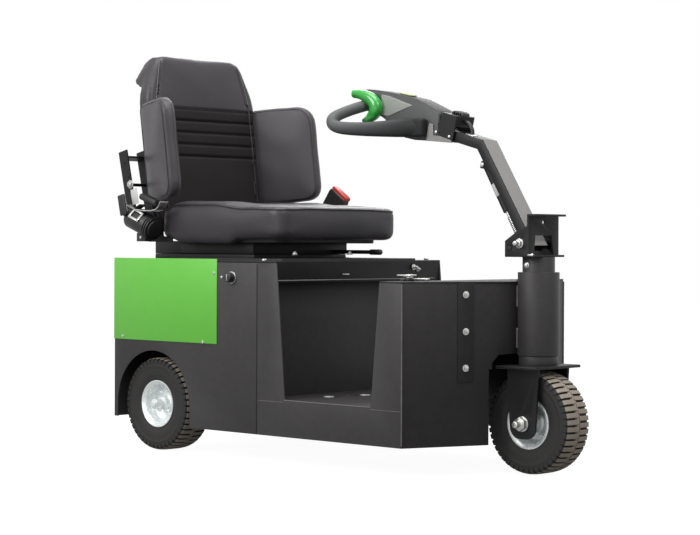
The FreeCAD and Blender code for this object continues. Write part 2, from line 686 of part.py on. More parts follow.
bracket_half = bracket_width / 2
bracket_inside = bracket_half - bracket_plate
web_rear_x = bracket_web_x - bracket_plate
base_plate = box("base_plate", (bracket_rear_x, -bracket_half, bracket_bottom),
                 (bracket_web_x + 20, bracket_half, bracket_bottom + bracket_plate))
web = box("web", (web_rear_x, -bracket_half, bracket_bottom), (bracket_web_x, bracket_half, bracket_top))
flange = box("flange", (web_rear_x, -bracket_half, bracket_top - bracket_plate),
             (bracket_web_x + bracket_flange, bracket_half, bracket_top))
ear = plate("ear", "XZ", [
    (bracket_rear_x, bracket_bottom), (web_rear_x + 1, bracket_bottom), (web_rear_x + 1, ear_high),
    (pivot_x - 8, ear_high - 14), (bracket_rear_x, ear_low)], bracket_plate)
move_to(ear, (0, -bracket_inside, 0))
web_window = plate("web_window", "YZ", [
    (-web_window_half - 8, bracket_bottom + bracket_plate), (web_window_half + 8, bracket_bottom + bracket_plate),
    (web_window_half, web_window_top), (-web_window_half, web_window_top)], bracket_plate * 3)
move_to(web_window, (web_rear_x - bracket_plate, 0, 0))
web_hole = rod("web_hole", web_hole_diameter, bracket_plate * 3, (web_rear_x - bracket_plate, 0, web_hole_z), "X")
pivot_bore = across("pivot_bore", pivot_bolt_diameter + 2 * RUN_GAP, bracket_width, pivot_x, pivot_z)
pin_bore = across("pin_bore", strut_pin_diameter + 2 * RUN_GAP, bracket_width, strut_pin_x, strut_pin_z)
bracket_body = fuse("bracket_body", base_plate, web, flange, ear, mirror("ear_far", ear))
done(cut("bracket", bracket_body, web_window, web_hole, pivot_bore, pin_bore), "head_bracket")

bolt_shank = across("bolt_shank", pivot_bolt_diameter, bracket_half, pivot_x, pivot_z)
bolt_head = rod("bolt_head", pivot_head_diameter, pivot_head_length,
                (pivot_x, -bracket_half - pivot_head_length, pivot_z), "Y")
bolt_nut = rod("bolt_nut", pivot_head_diameter, pivot_head_length, (pivot_x, bracket_half, pivot_z), "Y")
strut_pin = across("strut_pin", strut_pin_diameter, bracket_half, strut_pin_x, strut_pin_z)
done(group("pins", fuse("pivot_bolt", bolt_shank, bolt_head, bolt_nut), strut_pin), "tiller_pins")

leg_top = fork_plate_top - fork_plate_thickness
fork_top = box("fork_top", (steer_x - fork_plate_length / 2, -fork_plate_width / 2, leg_top),
               (steer_x + fork_plate_length / 2, fork_plate_width / 2, fork_plate_top))
leg = plate("leg", "XZ", [
    (steer_x - fork_leg_width / 2, leg_top + 1), (steer_x - fork_leg_foot, wheel_z - fork_leg_foot),
    (steer_x + fork_leg_foot, wheel_z - fork_leg_foot), (steer_x + fork_leg_width / 2, leg_top + 1)],
    fork_leg_thickness)
round_edges(leg, "leg_foot", fork_leg_foot * 0.8,
            lambda edge: runs_along(Y_AXIS)(edge) and edge.CenterOfMass.z < wheel_z.value)
move_to(leg, (0, -fork_leg_inside, 0))
axle_bore = across("axle_bore", axle_diameter + 2 * RUN_GAP, fork_plate_width, steer_x, wheel_z)
done(cut("fork_body", fuse("fork_sheet", fork_top, leg, mirror("leg_far", leg)), axle_bore), "fork")

fork_outside = fork_leg_inside + fork_leg_thickness
axle_bar = across("axle_bar", axle_diameter, fork_outside, steer_x, wheel_z)
nut_near = rod("nut_near", axle_nut_diameter, axle_nut_length, (steer_x, -fork_outside - axle_nut_length, wheel_z), "Y")
nut_far = rod("nut_far", axle_nut_diameter, axle_nut_length, (steer_x, fork_outside, wheel_z), "Y")
done(fuse("front_axle_bar", axle_bar, nut_near, nut_far), "front_axle")

# ---------------------------------------------------------------- wheels
flange_half = rim_width / 2
rim_edge = rim_diameter / 2
barrel = rim_edge - 6
disc = 6


def rim(name):
    """A pressed rim on a hub: flanges, barrel, centre disc and a bore that runs on the axle."""
    hub_half = hub_length / 2
    hub = hub_diameter / 2
    bore = axle_diameter / 2 + RUN_GAP
    return turned(name, [
        (-hub_half, bore), (hub_half, bore), (hub_half, hub), (disc, hub), (disc, barrel - 4),
        (flange_half, barrel - 4), (flange_half, rim_edge), (bead_half, rim_edge), (bead_half, barrel),
        (-bead_half, barrel), (-bead_half, rim_edge), (-flange_half, rim_edge), (-flange_half, barrel - 4),
        (-disc, barrel - 4), (-disc, hub), (-hub_half, hub)])


def tyre(name):
    half = tyre_width / 2
    bead = bead_half - SEAT_GAP
    tread = tyre_diameter / 2
    return turned(name, [
        (-bead, barrel + SEAT_GAP), (bead, barrel + SEAT_GAP), (bead, rim_edge + 2), (half, rim_edge + 16),
        (half, tread - 20), (half - 14, tread), (14 - half, tread), (-half, tread - 20), (-half, rim_edge + 16),
        (-bead, rim_edge + 2)])


for where, place in (("front", (steer_x, 0, wheel_z)), ("rear_right", (rear_axle_x, -wheel_y, wheel_z)),
                     ("rear_left", (rear_axle_x, wheel_y, wheel_z))):
    done(move_to(rim(where + "_rim_body"), place), where + "_rim")
    done(move_to(tyre(where + "_tyre_body"), place), where + "_tyre")

# ---------------------------------------------------------------- tiller arm
half_depth = arm_depth / 2
crank_end_x = bend_x - crank_length * crank_cos
crank_end_z = bend_z + crank_length * crank_sin
arm_foot_x = pivot_x + half_depth * arm_cos
arm_foot_z = pivot_z - half_depth * arm_sin
bend_shift = half_depth * 0.394
arm_solid = plate("arm_solid", "XZ", [
    (arm_foot_x - half_depth * arm_sin, arm_foot_z - half_depth * arm_cos),
    (arm_foot_x + half_depth * arm_sin, arm_foot_z + half_depth * arm_cos),
    (bend_x + half_depth * arm_sin - bend_shift * arm_cos, bend_z + half_depth * arm_cos + bend_shift * arm_sin),
    (crank_end_x + half_depth * crank_sin, crank_end_z + half_depth * crank_cos),
    (crank_end_x - half_depth * crank_sin, crank_end_z - half_depth * crank_cos),
    (bend_x - half_depth * arm_sin + bend_shift * arm_cos, bend_z - half_depth * arm_cos - bend_shift * arm_sin)],
    arm_width)
move_to(arm_solid, (0, arm_width / 2, 0))
pivot_eye = across("pivot_eye", arm_depth, bracket_inside - 1, pivot_x, pivot_z)
pivot_hole = across("pivot_hole", pivot_bolt_diameter + 2 * RUN_GAP, bracket_width, pivot_x, pivot_z)
lug = plate("lug", "XZ", [
    (strut_top_x - 9, strut_top_z - 9), (strut_top_x + 9, strut_top_z - 12), (strut_top_x + 36, strut_top_z - 6),
    (strut_top_x + 24, strut_top_z + 16), (strut_top_x - 5, strut_top_z + 10)], 5)
move_to(lug, (0, -strut_diameter / 2 - 1.5, 0))
lug_far = mirror("lug_far", lug)
strut_top_pin = across("strut_top_pin", strut_pin_diameter, strut_diameter / 2 + 10, strut_top_x, strut_top_z)
arm_body = cut("arm_body", fuse("arm_sum", arm_solid, pivot_eye, lug, lug_far, strut_top_pin), pivot_hole)
done(arm_body, "tiller_tube")

clamp_half = clamp_width / 2
clamp_inside = clamp_half - clamp_plate
clamp_block = box("clamp_block", (clamp_rear_x, -clamp_half, clamp_bottom), (clamp_front_x, clamp_half, clamp_top))
clamp_room = box("clamp_room", (clamp_rear_x - 1, -clamp_inside, clamp_bottom - 1),
                 (clamp_front_x + 1, clamp_inside, clamp_top - clamp_plate))
clamp_shell = cut("clamp_shell", clamp_block, clamp_room)
clamp_web = box("clamp_web", (clamp_front_x - clamp_plate, -clamp_inside, bend_z + 52),
                (clamp_front_x, clamp_inside, clamp_top - clamp_plate))
clamp_saddle = box("clamp_saddle", (clamp_rear_x + 4, -clamp_inside, bend_z + 60),
                   (clamp_front_x - clamp_plate, clamp_inside, clamp_top - clamp_plate))
done(fuse("clamp", clamp_shell, clamp_web, clamp_saddle), "tiller_clamp")

head_half = head_width / 2
head_front_x = clamp_rear_x - SEAT_GAP
head_crown = head_width * 0.5
head_under = [(head_front_x, clamp_bottom + 6), (head_rear_x + 165, clamp_bottom + 18),
              (head_rear_x + 90, head_top - 92), (head_rear_x, head_top - 66)]
console_sides = plate("console_sides", "XZ", [
    (head_rear_x, head_top - 18), (head_rear_x + 132, head_top - 36), (head_rear_x + 234, head_top - 63),
    (head_front_x, head_top - 96)] + head_under, head_width)
move_to(console_sides, (0, head_half, 0))
console_crown = plate("console_crown", "XZ", [
    (head_rear_x, head_top), (head_rear_x + 132, head_top - 16), (head_rear_x + 234, head_top - 44),
    (head_front_x, head_top - 82)] + head_under, head_crown)
round_edges(console_crown, "console_edges", 9, runs_along(Y_AXIS))
move_to(console_crown, (0, head_crown / 2, 0))
console = fuse("console", console_sides, console_crown)
done(console, "control_head")


def bent_bar(points, diameter):
    """A round bar along straight runs joined by arcs as large as the runs allow."""
    edges = []
    start = points[0]
    for before, corner, after in zip(points, points[1:], points[2:]):
        toward, away = (before - corner), (after - corner)
        shorter = min(toward.Length, away.Length)
        toward.normalize()
        away.normalize()
        half_turn = (math.pi - toward.getAngle(away)) / 2
        setback = 0.45 * shorter
        first, last = corner + toward * setback, corner + away * setback
        radius = setback / math.tan(half_turn)
        inward = (toward + away).normalize()
        middle = corner + inward * (radius / math.cos(half_turn) - radius)
        edges.append(Part.LineSegment(start, first).toShape())
        edges.append(Part.Arc(first, middle, last).toShape())
        start = last
    edges.append(Part.LineSegment(start, points[-1]).toShape())
    path = Part.Wire(edges)
    ring = Part.Wire([Part.Circle(points[0], points[1] - points[0], diameter / 2).toShape()])
    return path.makePipeShell([ring], True, False)


grip_y = grip_half_width.value
grip_front = Vector(clamp_rear_x.value - 44, -head_half.value + 8, clamp_bottom.value + 26)
grip_rear = Vector(head_rear_x.value + 26, -head_half.value + 8, head_top.value - 50)
grip_path = [
    grip_front,
    grip_front + Vector(-100, -52, 6),
    Vector(head_rear_x.value + 55, -grip_y + 16, clamp_bottom.value + 42),
    Vector(head_rear_x.value - 2, -grip_y, clamp_bottom.value + 58),
    Vector(head_rear_x.value + 14, -head_half.value - 50, head_top.value - 68),
    grip_rear]
grip = doc.addObject("Part::Feature", "grip")
grip.Shape = bent_bar(grip_path, grip_diameter.value)
grip_cut = cut("grip_cut", grip, console)
done(group("grips", grip_cut, mirror("grip_far", grip_cut)), "handle_loops")

paddle_x = head_rear_x + 40
paddle_z = head_top - 55
paddle = plate("paddle", "XZ", [
    (paddle_x - 56, paddle_z + 48), (paddle_x - 52, paddle_z + 30), (paddle_x - 30, paddle_z + 26),
    (paddle_x + 14, paddle_z + 16), (paddle_x + 22, paddle_z), (paddle_x + 12, paddle_z - 22),
    (paddle_x - 36, paddle_z - 30), (paddle_x - 30, paddle_z - 46), (paddle_x + 22, paddle_z - 42),
    (paddle_x + 46, paddle_z - 18), (paddle_x + 46, paddle_z + 10), (paddle_x + 26, paddle_z + 36),
    (paddle_x - 14, paddle_z + 48)], paddle_thickness)
move_to(paddle, (0, -head_half - SEAT_GAP, 0))
done(group("paddles", paddle, mirror("paddle_far", paddle)), "throttle_paddles")

# ---------------------------------------------------------------- strut under the arm
strut_run = strut_pin_x - strut_top_x
strut_rise = strut_pin_z - strut_top_z
strut_span = length_of(strut_run, strut_rise)
strut_turn = angle_of(strut_rise, strut_run)


def along_strut(item):
    turn(item, Y_AXIS, strut_turn)
    return move_to(item, (strut_top_x, 0, strut_top_z))


def strut_eye(name, x, z):
    return rod(name, strut_eye_diameter, strut_eye_width, (x, -strut_eye_width / 2, z), "Y")


cylinder_start = strut_eye_diameter / 2 - 2
barrel_bar = rod("barrel_bar", strut_diameter, strut_length - cylinder_start, (0, 0, cylinder_start))
barrel_hollow = rod("barrel_hollow", rod_diameter + 2 * RUN_GAP, strut_length, (0, 0, strut_length * 0.35))
barrel_eye = rod("barrel_eye", strut_eye_diameter, strut_eye_width, (0, -strut_eye_width / 2, 0), "Y")
barrel_pin_bore = rod("barrel_pin_bore", strut_pin_diameter + 2 * RUN_GAP, strut_eye_width * 2, (0, -strut_eye_width, 0), "Y")
strut_barrel = cut("strut_barrel", fuse("strut_outside", barrel_bar, barrel_eye), barrel_hollow, barrel_pin_bore)
done(along_strut(strut_barrel), "strut_cylinder")

rod_bar = rod("rod_bar", rod_diameter, strut_span - strut_length * 0.6, (0, 0, strut_length * 0.6))
rod_eye = rod("rod_eye", strut_eye_diameter, strut_eye_width, (0, -strut_eye_width / 2, strut_span), "Y")
rod_collar = rod("rod_collar", strut_diameter, 12, (0, 0, strut_span - 30))
rod_pin_bore = rod("rod_pin_bore", strut_pin_diameter + 3, strut_eye_width * 2, (0, -strut_eye_width, strut_span), "Y")
strut_rod_body = cut("strut_rod_body", fuse("rod_sum", rod_bar, rod_eye, rod_collar), rod_pin_bore)
done(along_strut(strut_rod_body), "strut_rod")

# ---------------------------------------------------------------- checks and export
doc.recompute()
for item in doc.Objects:
    bad = [state for state in item.State if state in ("Invalid", "Error")]
    if bad:
        raise RuntimeError("%s is %s" % (item.Name, bad))
for piece in subparts:
    if piece.Shape.isNull() or not piece.Shape.isValid() or not piece.Shape.Solids:
        raise RuntimeError("%s has no valid solid" % piece.Label)
os.makedirs("parts", exist_ok=True)
for piece in subparts:
    piece.Shape.exportStep("parts/%s.step" % piece.Label)
    print("%-22s %d solid(s) %10.0f mm3" % (piece.Label, len(piece.Shape.Solids), piece.Shape.Volume))
print(len(subparts), "nodes")
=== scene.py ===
# %% [markdown]
# # An electric tow tug
# This notebook dresses a small three-wheel tow tug. The measured model stays fixed; every piece made here
# goes over it, in metres, and rides on one of its moving bodies.

# %% Load the measured model
import json
from math import cos, exp, hypot, pi, radians, sin, sqrt, tau
import bmesh
import bpy
from bmesh.types import BMEdge, BMFace, BMVert
from mathutils import Matrix, Vector, noise
from mathutils.bvhtree import BVHTree


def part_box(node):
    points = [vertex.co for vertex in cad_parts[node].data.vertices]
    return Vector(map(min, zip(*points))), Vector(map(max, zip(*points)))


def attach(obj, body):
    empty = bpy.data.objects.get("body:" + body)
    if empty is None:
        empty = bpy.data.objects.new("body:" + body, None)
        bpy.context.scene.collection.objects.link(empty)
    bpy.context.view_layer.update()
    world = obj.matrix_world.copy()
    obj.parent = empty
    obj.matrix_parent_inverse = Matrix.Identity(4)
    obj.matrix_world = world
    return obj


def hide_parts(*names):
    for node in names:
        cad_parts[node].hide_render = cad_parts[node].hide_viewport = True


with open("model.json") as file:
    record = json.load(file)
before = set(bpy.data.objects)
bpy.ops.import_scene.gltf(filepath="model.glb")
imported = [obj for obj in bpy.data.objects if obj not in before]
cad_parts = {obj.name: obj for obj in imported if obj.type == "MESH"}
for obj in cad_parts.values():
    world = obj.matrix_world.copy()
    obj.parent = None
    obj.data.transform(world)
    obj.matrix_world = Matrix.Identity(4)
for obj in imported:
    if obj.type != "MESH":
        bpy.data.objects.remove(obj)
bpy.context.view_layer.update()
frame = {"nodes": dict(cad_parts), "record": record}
scene = bpy.context.scene
slots = {entry["node"]: entry["material_slot"] for entry in frame["record"]["subparts"]}
MM, METRE = 0.001, 1000
X, Y, Z = Vector((1, 0, 0)), Vector((0, 1, 0)), Vector((0, 0, 1))

# %% [markdown]
# Colours are written as they look on a screen, and one function turns them into the linear light that
# shaders want. Another adds a shader node, whose inputs take a number or a node's output. Short functions
# on top of it make the patterns that most finishes share.

# %% Colour and node helpers
def linear(code):
    """A screen colour such as #3e3c3c as linear red, green, blue and alpha."""
    channels = [int(code[i:i + 2], 16) / 255 for i in (1, 3, 5)]
    return [c / 12.92 if c <= 0.04045 else ((c + 0.055) / 1.055) ** 2.4 for c in channels] + [1]


def fill(tree, node, inputs):
    """Links or fills a node's inputs."""
    for name, value in inputs.items():
        if isinstance(value, bpy.types.NodeSocket):
            tree.links.new(value, node.inputs[name])
        else:
            node.inputs[name].default_value = value


def add_node(tree, kind, inputs=None, **settings):
    node = tree.nodes.new("ShaderNode" + kind)
    for name, value in settings.items():
        setattr(node, name, value)
    fill(tree, node, inputs or {})
    return node


def new_material(name):
    material = bpy.data.materials.new(name)
    material.use_nodes = True
    tree = material.node_tree
    return material, tree, tree.nodes["Principled BSDF"], add_node(tree, "TexCoord").outputs["Object"]


def speckle(tree, place, grain_mm, detail):
    """Noise whose grains have a real size."""
    inputs = {"Vector": place, "Scale": METRE / grain_mm, "Detail": detail}
    return add_node(tree, "TexNoise", inputs).outputs["Fac"]


def spread(tree, value, low, high, start=0, end=1):
    inputs = {"Value": value, "From Min": start, "From Max": end, "To Min": low, "To Max": high}
    return add_node(tree, "MapRange", inputs).outputs["Result"]


def blend(tree, factor, color, light_color):
    inputs = {"Factor": factor, 6: linear(color), 7: linear(light_color)}
    return add_node(tree, "Mix", inputs, data_type="RGBA").outputs[2]


def combine(tree, operation, first, second):
    return add_node(tree, "Math", {0: first, 1: second}, operation=operation).outputs[0]


def bumps(tree, height, depth, rise=0.0004):
    return add_node(tree, "Bump", {"Height": height, "Strength": depth, "Distance": rise}).outputs["Normal"]


# %% [markdown]
# Most of the tug is folded sheet steel, powder coated: an even, slightly pebbled skin. The pebbles are
# really about 1 mm; they are drawn at 5 mm so that they show. A broad, faint noise keeps large sheets from
# looking printed, as if hands and boots had rubbed the colour a little.

# %% Powder-coated steel
def powder_coat(name, color, light_color, roughness=0.45, pebble_mm=5, depth=0.12, gleam=0.35):
    material, tree, shader, place = new_material(name)
    cloud = speckle(tree, place, 170, 4)
    ramp = add_node(tree, "ValToRGB", {"Fac": combine(tree, "MULTIPLY", cloud, speckle(tree, place, 22, 6))})
    for end, position, code in zip(ramp.color_ramp.elements, (0.12, 0.5), (color, light_color)):
        end.position, end.color = position, linear(code)
    fill(tree, shader, {
        "Base Color": ramp.outputs["Color"], "Specular IOR Level": gleam,
        "Roughness": spread(tree, cloud, roughness - 0.05, roughness + 0.08),
        "Normal": bumps(tree, speckle(tree, place, pebble_mm, 2), depth, 0.0006)})
    return material


charcoal_coat = powder_coat("powder_coated_steel_charcoal", "#363434", "#3e3c3c")
# The dark and nose coats are darker copies of the charcoal coat for the nose plates, strips and lid, which
# face away from the main light: painted shade.
dark_shaded_coat = powder_coat("powder_coated_steel_dark_painted_shade", "#2a292a", "#333132", roughness=0.62, gleam=0.18)
black_coat = powder_coat("powder_coated_steel_black", "#18181a", "#202021", gleam=0.28)
# Painted shade: the nose plates' coat is a darker copy of the charcoal coat.
nose_shaded_coat = powder_coat("powder_coated_steel_nose_painted_shade", "#302e2f", "#383636", gleam=0.18)
cast_coat = powder_coat("painted_casting", "#242425", "#33312f", roughness=0.6, pebble_mm=8, depth=0.5)
# A lighter copy of the coat for weld beads and seam lines, which catch the light: painted highlight.
weld_highlight_coat = powder_coat("weld_bead_painted_highlight", "#5a5856", "#7b7976", roughness=0.35, pebble_mm=6, depth=0.3)

# %% [markdown]
# The covers are a green sheet with a smooth, slightly glossy finish. The moulded plastics are ABS: the
# handle's shell is dark and softly textured, the insert in its side is pale grey, and the thumb paddles are
# a deeper green under a clear coat. The tyres are carbon-black rubber; the tread has the dry, brownish film
# that floors leave.

# %% Moulded plastics and rubber
def moulded(name, color, light_color, roughness, grain_mm=3, depth=0.15, coat=0.0):
    material, tree, shader, place = new_material(name)
    fill(tree, shader, {
        "Base Color": blend(tree, speckle(tree, place, 60, 3), color, light_color), "Roughness": roughness,
        "Normal": bumps(tree, speckle(tree, place, grain_mm, 3), depth), "Coat Weight": coat})
    return material


green_sheet = moulded("painted_sheet_green", "#66c341", "#6ec949", 0.38, depth=0.05)
shell_plastic = moulded("moulded_abs_graphite", "#3c3d3e", "#484949", 0.5, depth=0.3)
top_plastic = moulded("moulded_abs_charcoal", "#242425", "#2e2e2f", 0.6, depth=0.3)
black_plastic = moulded("moulded_abs_black", "#1a1a1b", "#242425", 0.42)
pale_plastic = moulded("moulded_abs_pale_grey", "#838682", "#949792", 0.45)
paddle_plastic = moulded("moulded_abs_green", "#1c912d", "#35b344", 0.22, depth=0.03, coat=0.4)
red_plastic = moulded("moulded_abs_red", "#a32a22", "#bb3a2e", 0.35)
badge_plastic = moulded("moulded_abs_cream", "#b9bf9a", "#a9b98a", 0.4)
label_film = moulded("label_film", "#c9c8c6", "#dddcd9", 0.4)
strip_metal = moulded("painted_aluminium_grey", "#898785", "#93918f", 0.5, depth=0.06)
thread = moulded("sewing_thread_grey", "#8f8d8c", "#a5a3a1", 0.7)
# A near-black finish for strips and discs that stand for the shade in gaps and holes: painted shadow.
painted_shadow_black = moulded("painted_shadow_filler", "#060606", "#0a0a0a", 0.9)
sidewall_rubber = moulded("tyre_rubber_sidewall", "#191716", "#211f1e", 0.7, grain_mm=4, depth=0.5)
tread_rubber = moulded("tyre_rubber_dusty_tread", "#978d81", "#a89d90", 0.8, grain_mm=5, depth=0.6)

# %% [markdown]
# The grips' rubber is coloured paler at the grips and darker on the bosses beside the head: painted shade,
# as the bosses' faces get less light. The colour follows the distance along the machine, from the grips'
# rear to the bosses.

# %% Grip rubber
grip_rubber, tree, shader, place = new_material("moulded_grip_rubber")
split = add_node(tree, "SeparateXYZ", {"Vector": place})
# Painted shade: the colour darkens from the grips' rear towards the bosses.
fill(tree, shader, {
    "Base Color": blend(tree, spread(tree, split.outputs["X"], 0, 1, 0.06, 0.25), "#5f6061", "#242526"),
    "Roughness": 0.55, "Specular IOR Level": 0.2, "Normal": bumps(tree, speckle(tree, place, 2, 3), 0.35)})

# %% [markdown]
# Bolts, rims and small fittings are steel under bright zinc. The plating's crystals change its tint, and
# a haze changes how sharp its reflection is.

# %% Zinc-plated steel
def plated(name, color, tint, rough_low, rough_high, crystal_mm=9, metal=1.0):
    material, tree, shader, place = new_material(name)
    crystals = add_node(tree, "TexVoronoi", {"Vector": place, "Scale": METRE / crystal_mm})
    haze = speckle(tree, place, 25, 5)
    fill(tree, shader, {
        "Base Color": blend(tree, crystals.outputs["Color"], color, tint), "Metallic": metal,
        "Roughness": spread(tree, haze, rough_low, rough_high, 0.3, 0.7)})
    return material


zinc = plated("zinc_plated_steel", "#e9efef", "#f5f8f8", 0.22, 0.4, metal=0.4)
bolt_steel = plated("zinc_plated_bolts", "#b9bab8", "#d0d0cc", 0.25, 0.45, crystal_mm=4)
chrome_rod = plated("hard_chrome_rod", "#b8babb", "#c6c8c9", 0.12, 0.2)

# %% [markdown]
# The seat is covered in black vinyl, embossed like leather: rounded cells about 2 mm wide, drawn at 4 mm.
# Vinyl is matt in the valleys and glossier on the crowns, so the same cells drive the bump and the
# roughness. The belt's webbing is woven in ribs, drawn coarser than the real 1.5 mm.

# %% Vinyl and webbing
def vinyl(name, color, light_color, roughness, gleam=0.5):
    material, tree, shader, place = new_material(name)
    wobble = add_node(tree, "TexNoise", {"Vector": place, "Scale": METRE / 12, "Detail": 2})
    shifted = add_node(tree, "Mix", {"Factor": 0.012, 4: place, 5: wobble.outputs["Color"]},
                       data_type="VECTOR")
    cells = add_node(tree, "TexVoronoi", {"Vector": shifted.outputs[1], "Scale": METRE / 4},
                     feature="DISTANCE_TO_EDGE")
    valley = spread(tree, cells.outputs["Distance"], 0, 1, 0, 0.12)
    fill(tree, shader, {
        "Base Color": blend(tree, speckle(tree, place, 90, 4), color, light_color),
        "Roughness": spread(tree, valley, roughness + 0.15, roughness), "Normal": bumps(tree, valley, 0.25),
        "Specular IOR Level": gleam, "Sheen Weight": 0.16 * gleam})
    return material


seat_vinyl = vinyl("embossed_vinyl_black", "#353136", "#3c383d", 0.38, 0.42)
# Painted shade: a darker copy of the seat vinyl for the backrest's lower front.
panel_vinyl_shaded = vinyl("embossed_vinyl_panel_painted_shade", "#1d1a1a", "#232020", 0.55, 0.15)
piping_vinyl = vinyl("vinyl_piping", "#1d1c1e", "#252426", 0.4)

webbing, tree, shader, place = new_material("woven_polyester_webbing")
ribs = add_node(tree, "TexWave", {"Vector": place, "Scale": METRE / 4 / 6.3, "Distortion": 0.6},
                bands_direction="DIAGONAL").outputs["Fac"]
fill(tree, shader, {"Base Color": blend(tree, ribs, "#141416", "#26262a"), "Roughness": 0.8,
                    "Normal": bumps(tree, ribs, 0.4, 0.0005)})

# %% [markdown]
# The helpers cover the shapes that a welded machine is made of: blocks with softened edges, flat plates
# cut to an outline, bars swept along a path, turned parts, bolts and beads.

# %% Mesh helpers
bm = bmesh.new()
at = Matrix.Translation


def clamp(value):
    return min(max(value, 0), 1)


def put(name, data):
    """Adds an object with its data to the scene."""
    item = bpy.data.objects.new(name, data)
    scene.collection.objects.link(item)
    return item


def resize(factor):
    bmesh.ops.scale(bm, vec=(factor, factor, factor), verts=bm.verts)


def move(verts, matrix):
    bmesh.ops.transform(bm, matrix=matrix, verts=verts)


def lifted(name):
    """The bench's shape as a mesh; the bench is cleared."""
    mesh = bpy.data.meshes.new(name)
    bm.to_mesh(mesh)
    bm.clear()
    return mesh


def finish(name, material, slot, replaces=(), body="chassis", sharp=32):
    """Turns what is on the bench into a piece that rides on a body. slot, a slot's own name or a measured
    part whose slot is looked up, is not used."""
    resize(MM)
    for face in bm.faces:
        face.smooth = True
    for edge in bm.edges:
        edge.smooth = len(edge.link_faces) == 2 and edge.calc_face_angle(0) < radians(sharp)
    piece = put(name, lifted(name))
    for each in (material if isinstance(material, list) else [material]):
        piece.data.materials.append(each)
    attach(piece, body)
    slot = slots.get(slot, slot)
    if replaces:
        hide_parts(*replaces)
    return piece


def soften(edges, width, segments=2):
    """Bevels edges, as a real corner is never razor sharp."""
    bmesh.ops.bevel(bm, geom=edges, offset=width, offset_type="OFFSET", segments=segments, profile=0.5,
                    affect="EDGES", clamp_overlap=True, material=-1)


def creases(edges, angle):
    """The edges that are folded by more than an angle in radians."""
    return [edge for edge in edges if edge.calc_face_angle(0) > angle]


def parts_of(verts):
    """The edges that lie wholly within a set of vertices."""
    chosen = set(verts)
    return [edge for edge in bm.edges if edge.verts[0] in chosen and edge.verts[1] in chosen]


def whole(verts):
    """These vertices with the edges and faces between them."""
    chosen = set(verts)
    return list(verts) + parts_of(verts) + [face for face in bm.faces if chosen.issuperset(face.verts)]


def fresh(before):
    return [vert for vert in bm.verts if vert not in before]


def of_kind(items, kind):
    return [item for item in items if isinstance(item, kind)]


def face_out(verts):
    """Turns the faces on these vertices so that they look outwards."""
    chosen = set(verts)
    bmesh.ops.recalc_face_normals(bm, faces=[face for face in bm.faces if face.verts[0] in chosen])


def block(low, high, round_by=1.5, segments=2, place=None):
    low, high = Vector(low), Vector(high)
    verts = bmesh.ops.create_cube(bm, size=1)["verts"]
    bmesh.ops.scale(bm, vec=high - low, verts=verts)
    before = set(bm.verts) - set(verts)
    soften(parts_of(verts), round_by, segments)
    verts = fresh(before)
    bmesh.ops.translate(bm, vec=(high + low) / 2, verts=verts)
    if place:
        move(verts, place)


def plate(outline, thickness, place=Matrix(), round_by=0.8):
    """A flat plate: an outline in its own X and Y, thickened along Z, then put in place."""
    before = set(bm.verts)
    face = bm.faces.new([bm.verts.new((x, y, 0)) for x, y in outline])
    grown = bmesh.ops.extrude_face_region(bm, geom=[face])["geom"]
    bmesh.ops.translate(bm, vec=(0, 0, thickness), verts=of_kind(grown, BMVert))
    verts = fresh(before)
    move(verts, place)
    face_out(verts)
    if round_by:
        soften(parts_of(verts), round_by, 1)
    return fresh(before)


def upright(y):
    """A plate drawn in X and Z, standing at y and thickened towards +Y."""
    return at((0, y, 0)) @ Matrix(((1, 0, 0, 0), (0, 0, 1, 0), (0, 1, 0, 0), (0, 0, 0, 1)))


def facing(x):
    """A plate drawn in Y and Z, standing at x and thickened forward."""
    return at((x, 0, 0)) @ Matrix(((0, 0, 1, 0), (1, 0, 0, 0), (0, 1, 0, 0), (0, 0, 0, 1)))


def tilted(place, degrees):
    """A place, turned about Y."""
    return at(place) @ Matrix.Rotation(radians(degrees), 4, "Y")


def bar(radius, length, place, axis, sides=32, round_by=1.0, top=None):
    """A round bar or cone from a place along an axis."""
    before = set(bm.verts)
    aimed = at(place) @ Vector(axis).to_track_quat("Z", "Y").to_matrix().to_4x4()
    bmesh.ops.create_cone(bm, cap_ends=True, segments=sides, radius1=radius, radius2=top or radius,
                          depth=length, matrix=aimed @ at((0, 0, length / 2)))
    if round_by:
        soften(creases(parts_of(fresh(before)), 1.0), round_by, 2)
    return fresh(before)


def both_ends(x, z, rings):
    """Washers, nuts and ends of a cross bolt: radius, length, distance out, then sides, rounding and top."""
    for side in (-1, 1):
        for radius, length, out, *form in rings:
            bar(radius, length, (x, side * out, z), (0, side, 0), *form)


def bolt(place, axis, across=13, height=6, washer=10, stub=0):
    """A hexagon head or nut on a washer, with a stub of thread where one shows."""
    axis, seat = Vector(axis).normalized(), Vector(place)
    if washer:
        bar(washer, 1.6, place, axis, 28, 0.4)
        seat += axis * 1.4
    bar(across / sqrt(3), height, seat, axis, 6, 0.7)
    if stub:
        bar(across * 0.3, stub, seat + axis * (height - 0.5), axis, 20, 0.8)


def flow(points, steps=6):
    """A smooth path through points."""
    points = [Vector(p) for p in points]
    ends = [2 * points[0] - points[1]] + points + [2 * points[-1] - points[-2]]
    path = []
    for a, b, c, d in zip(ends, ends[1:], ends[2:], ends[3:]):
        for t in (step / steps for step in range(steps)):
            path.append(0.5 * (2 * b + (c - a) * t + (2 * a - 5 * b + 4 * c - d) * t * t
                               + (3 * b - a - 3 * c + d) * t ** 3))
    return path + [points[-1]]


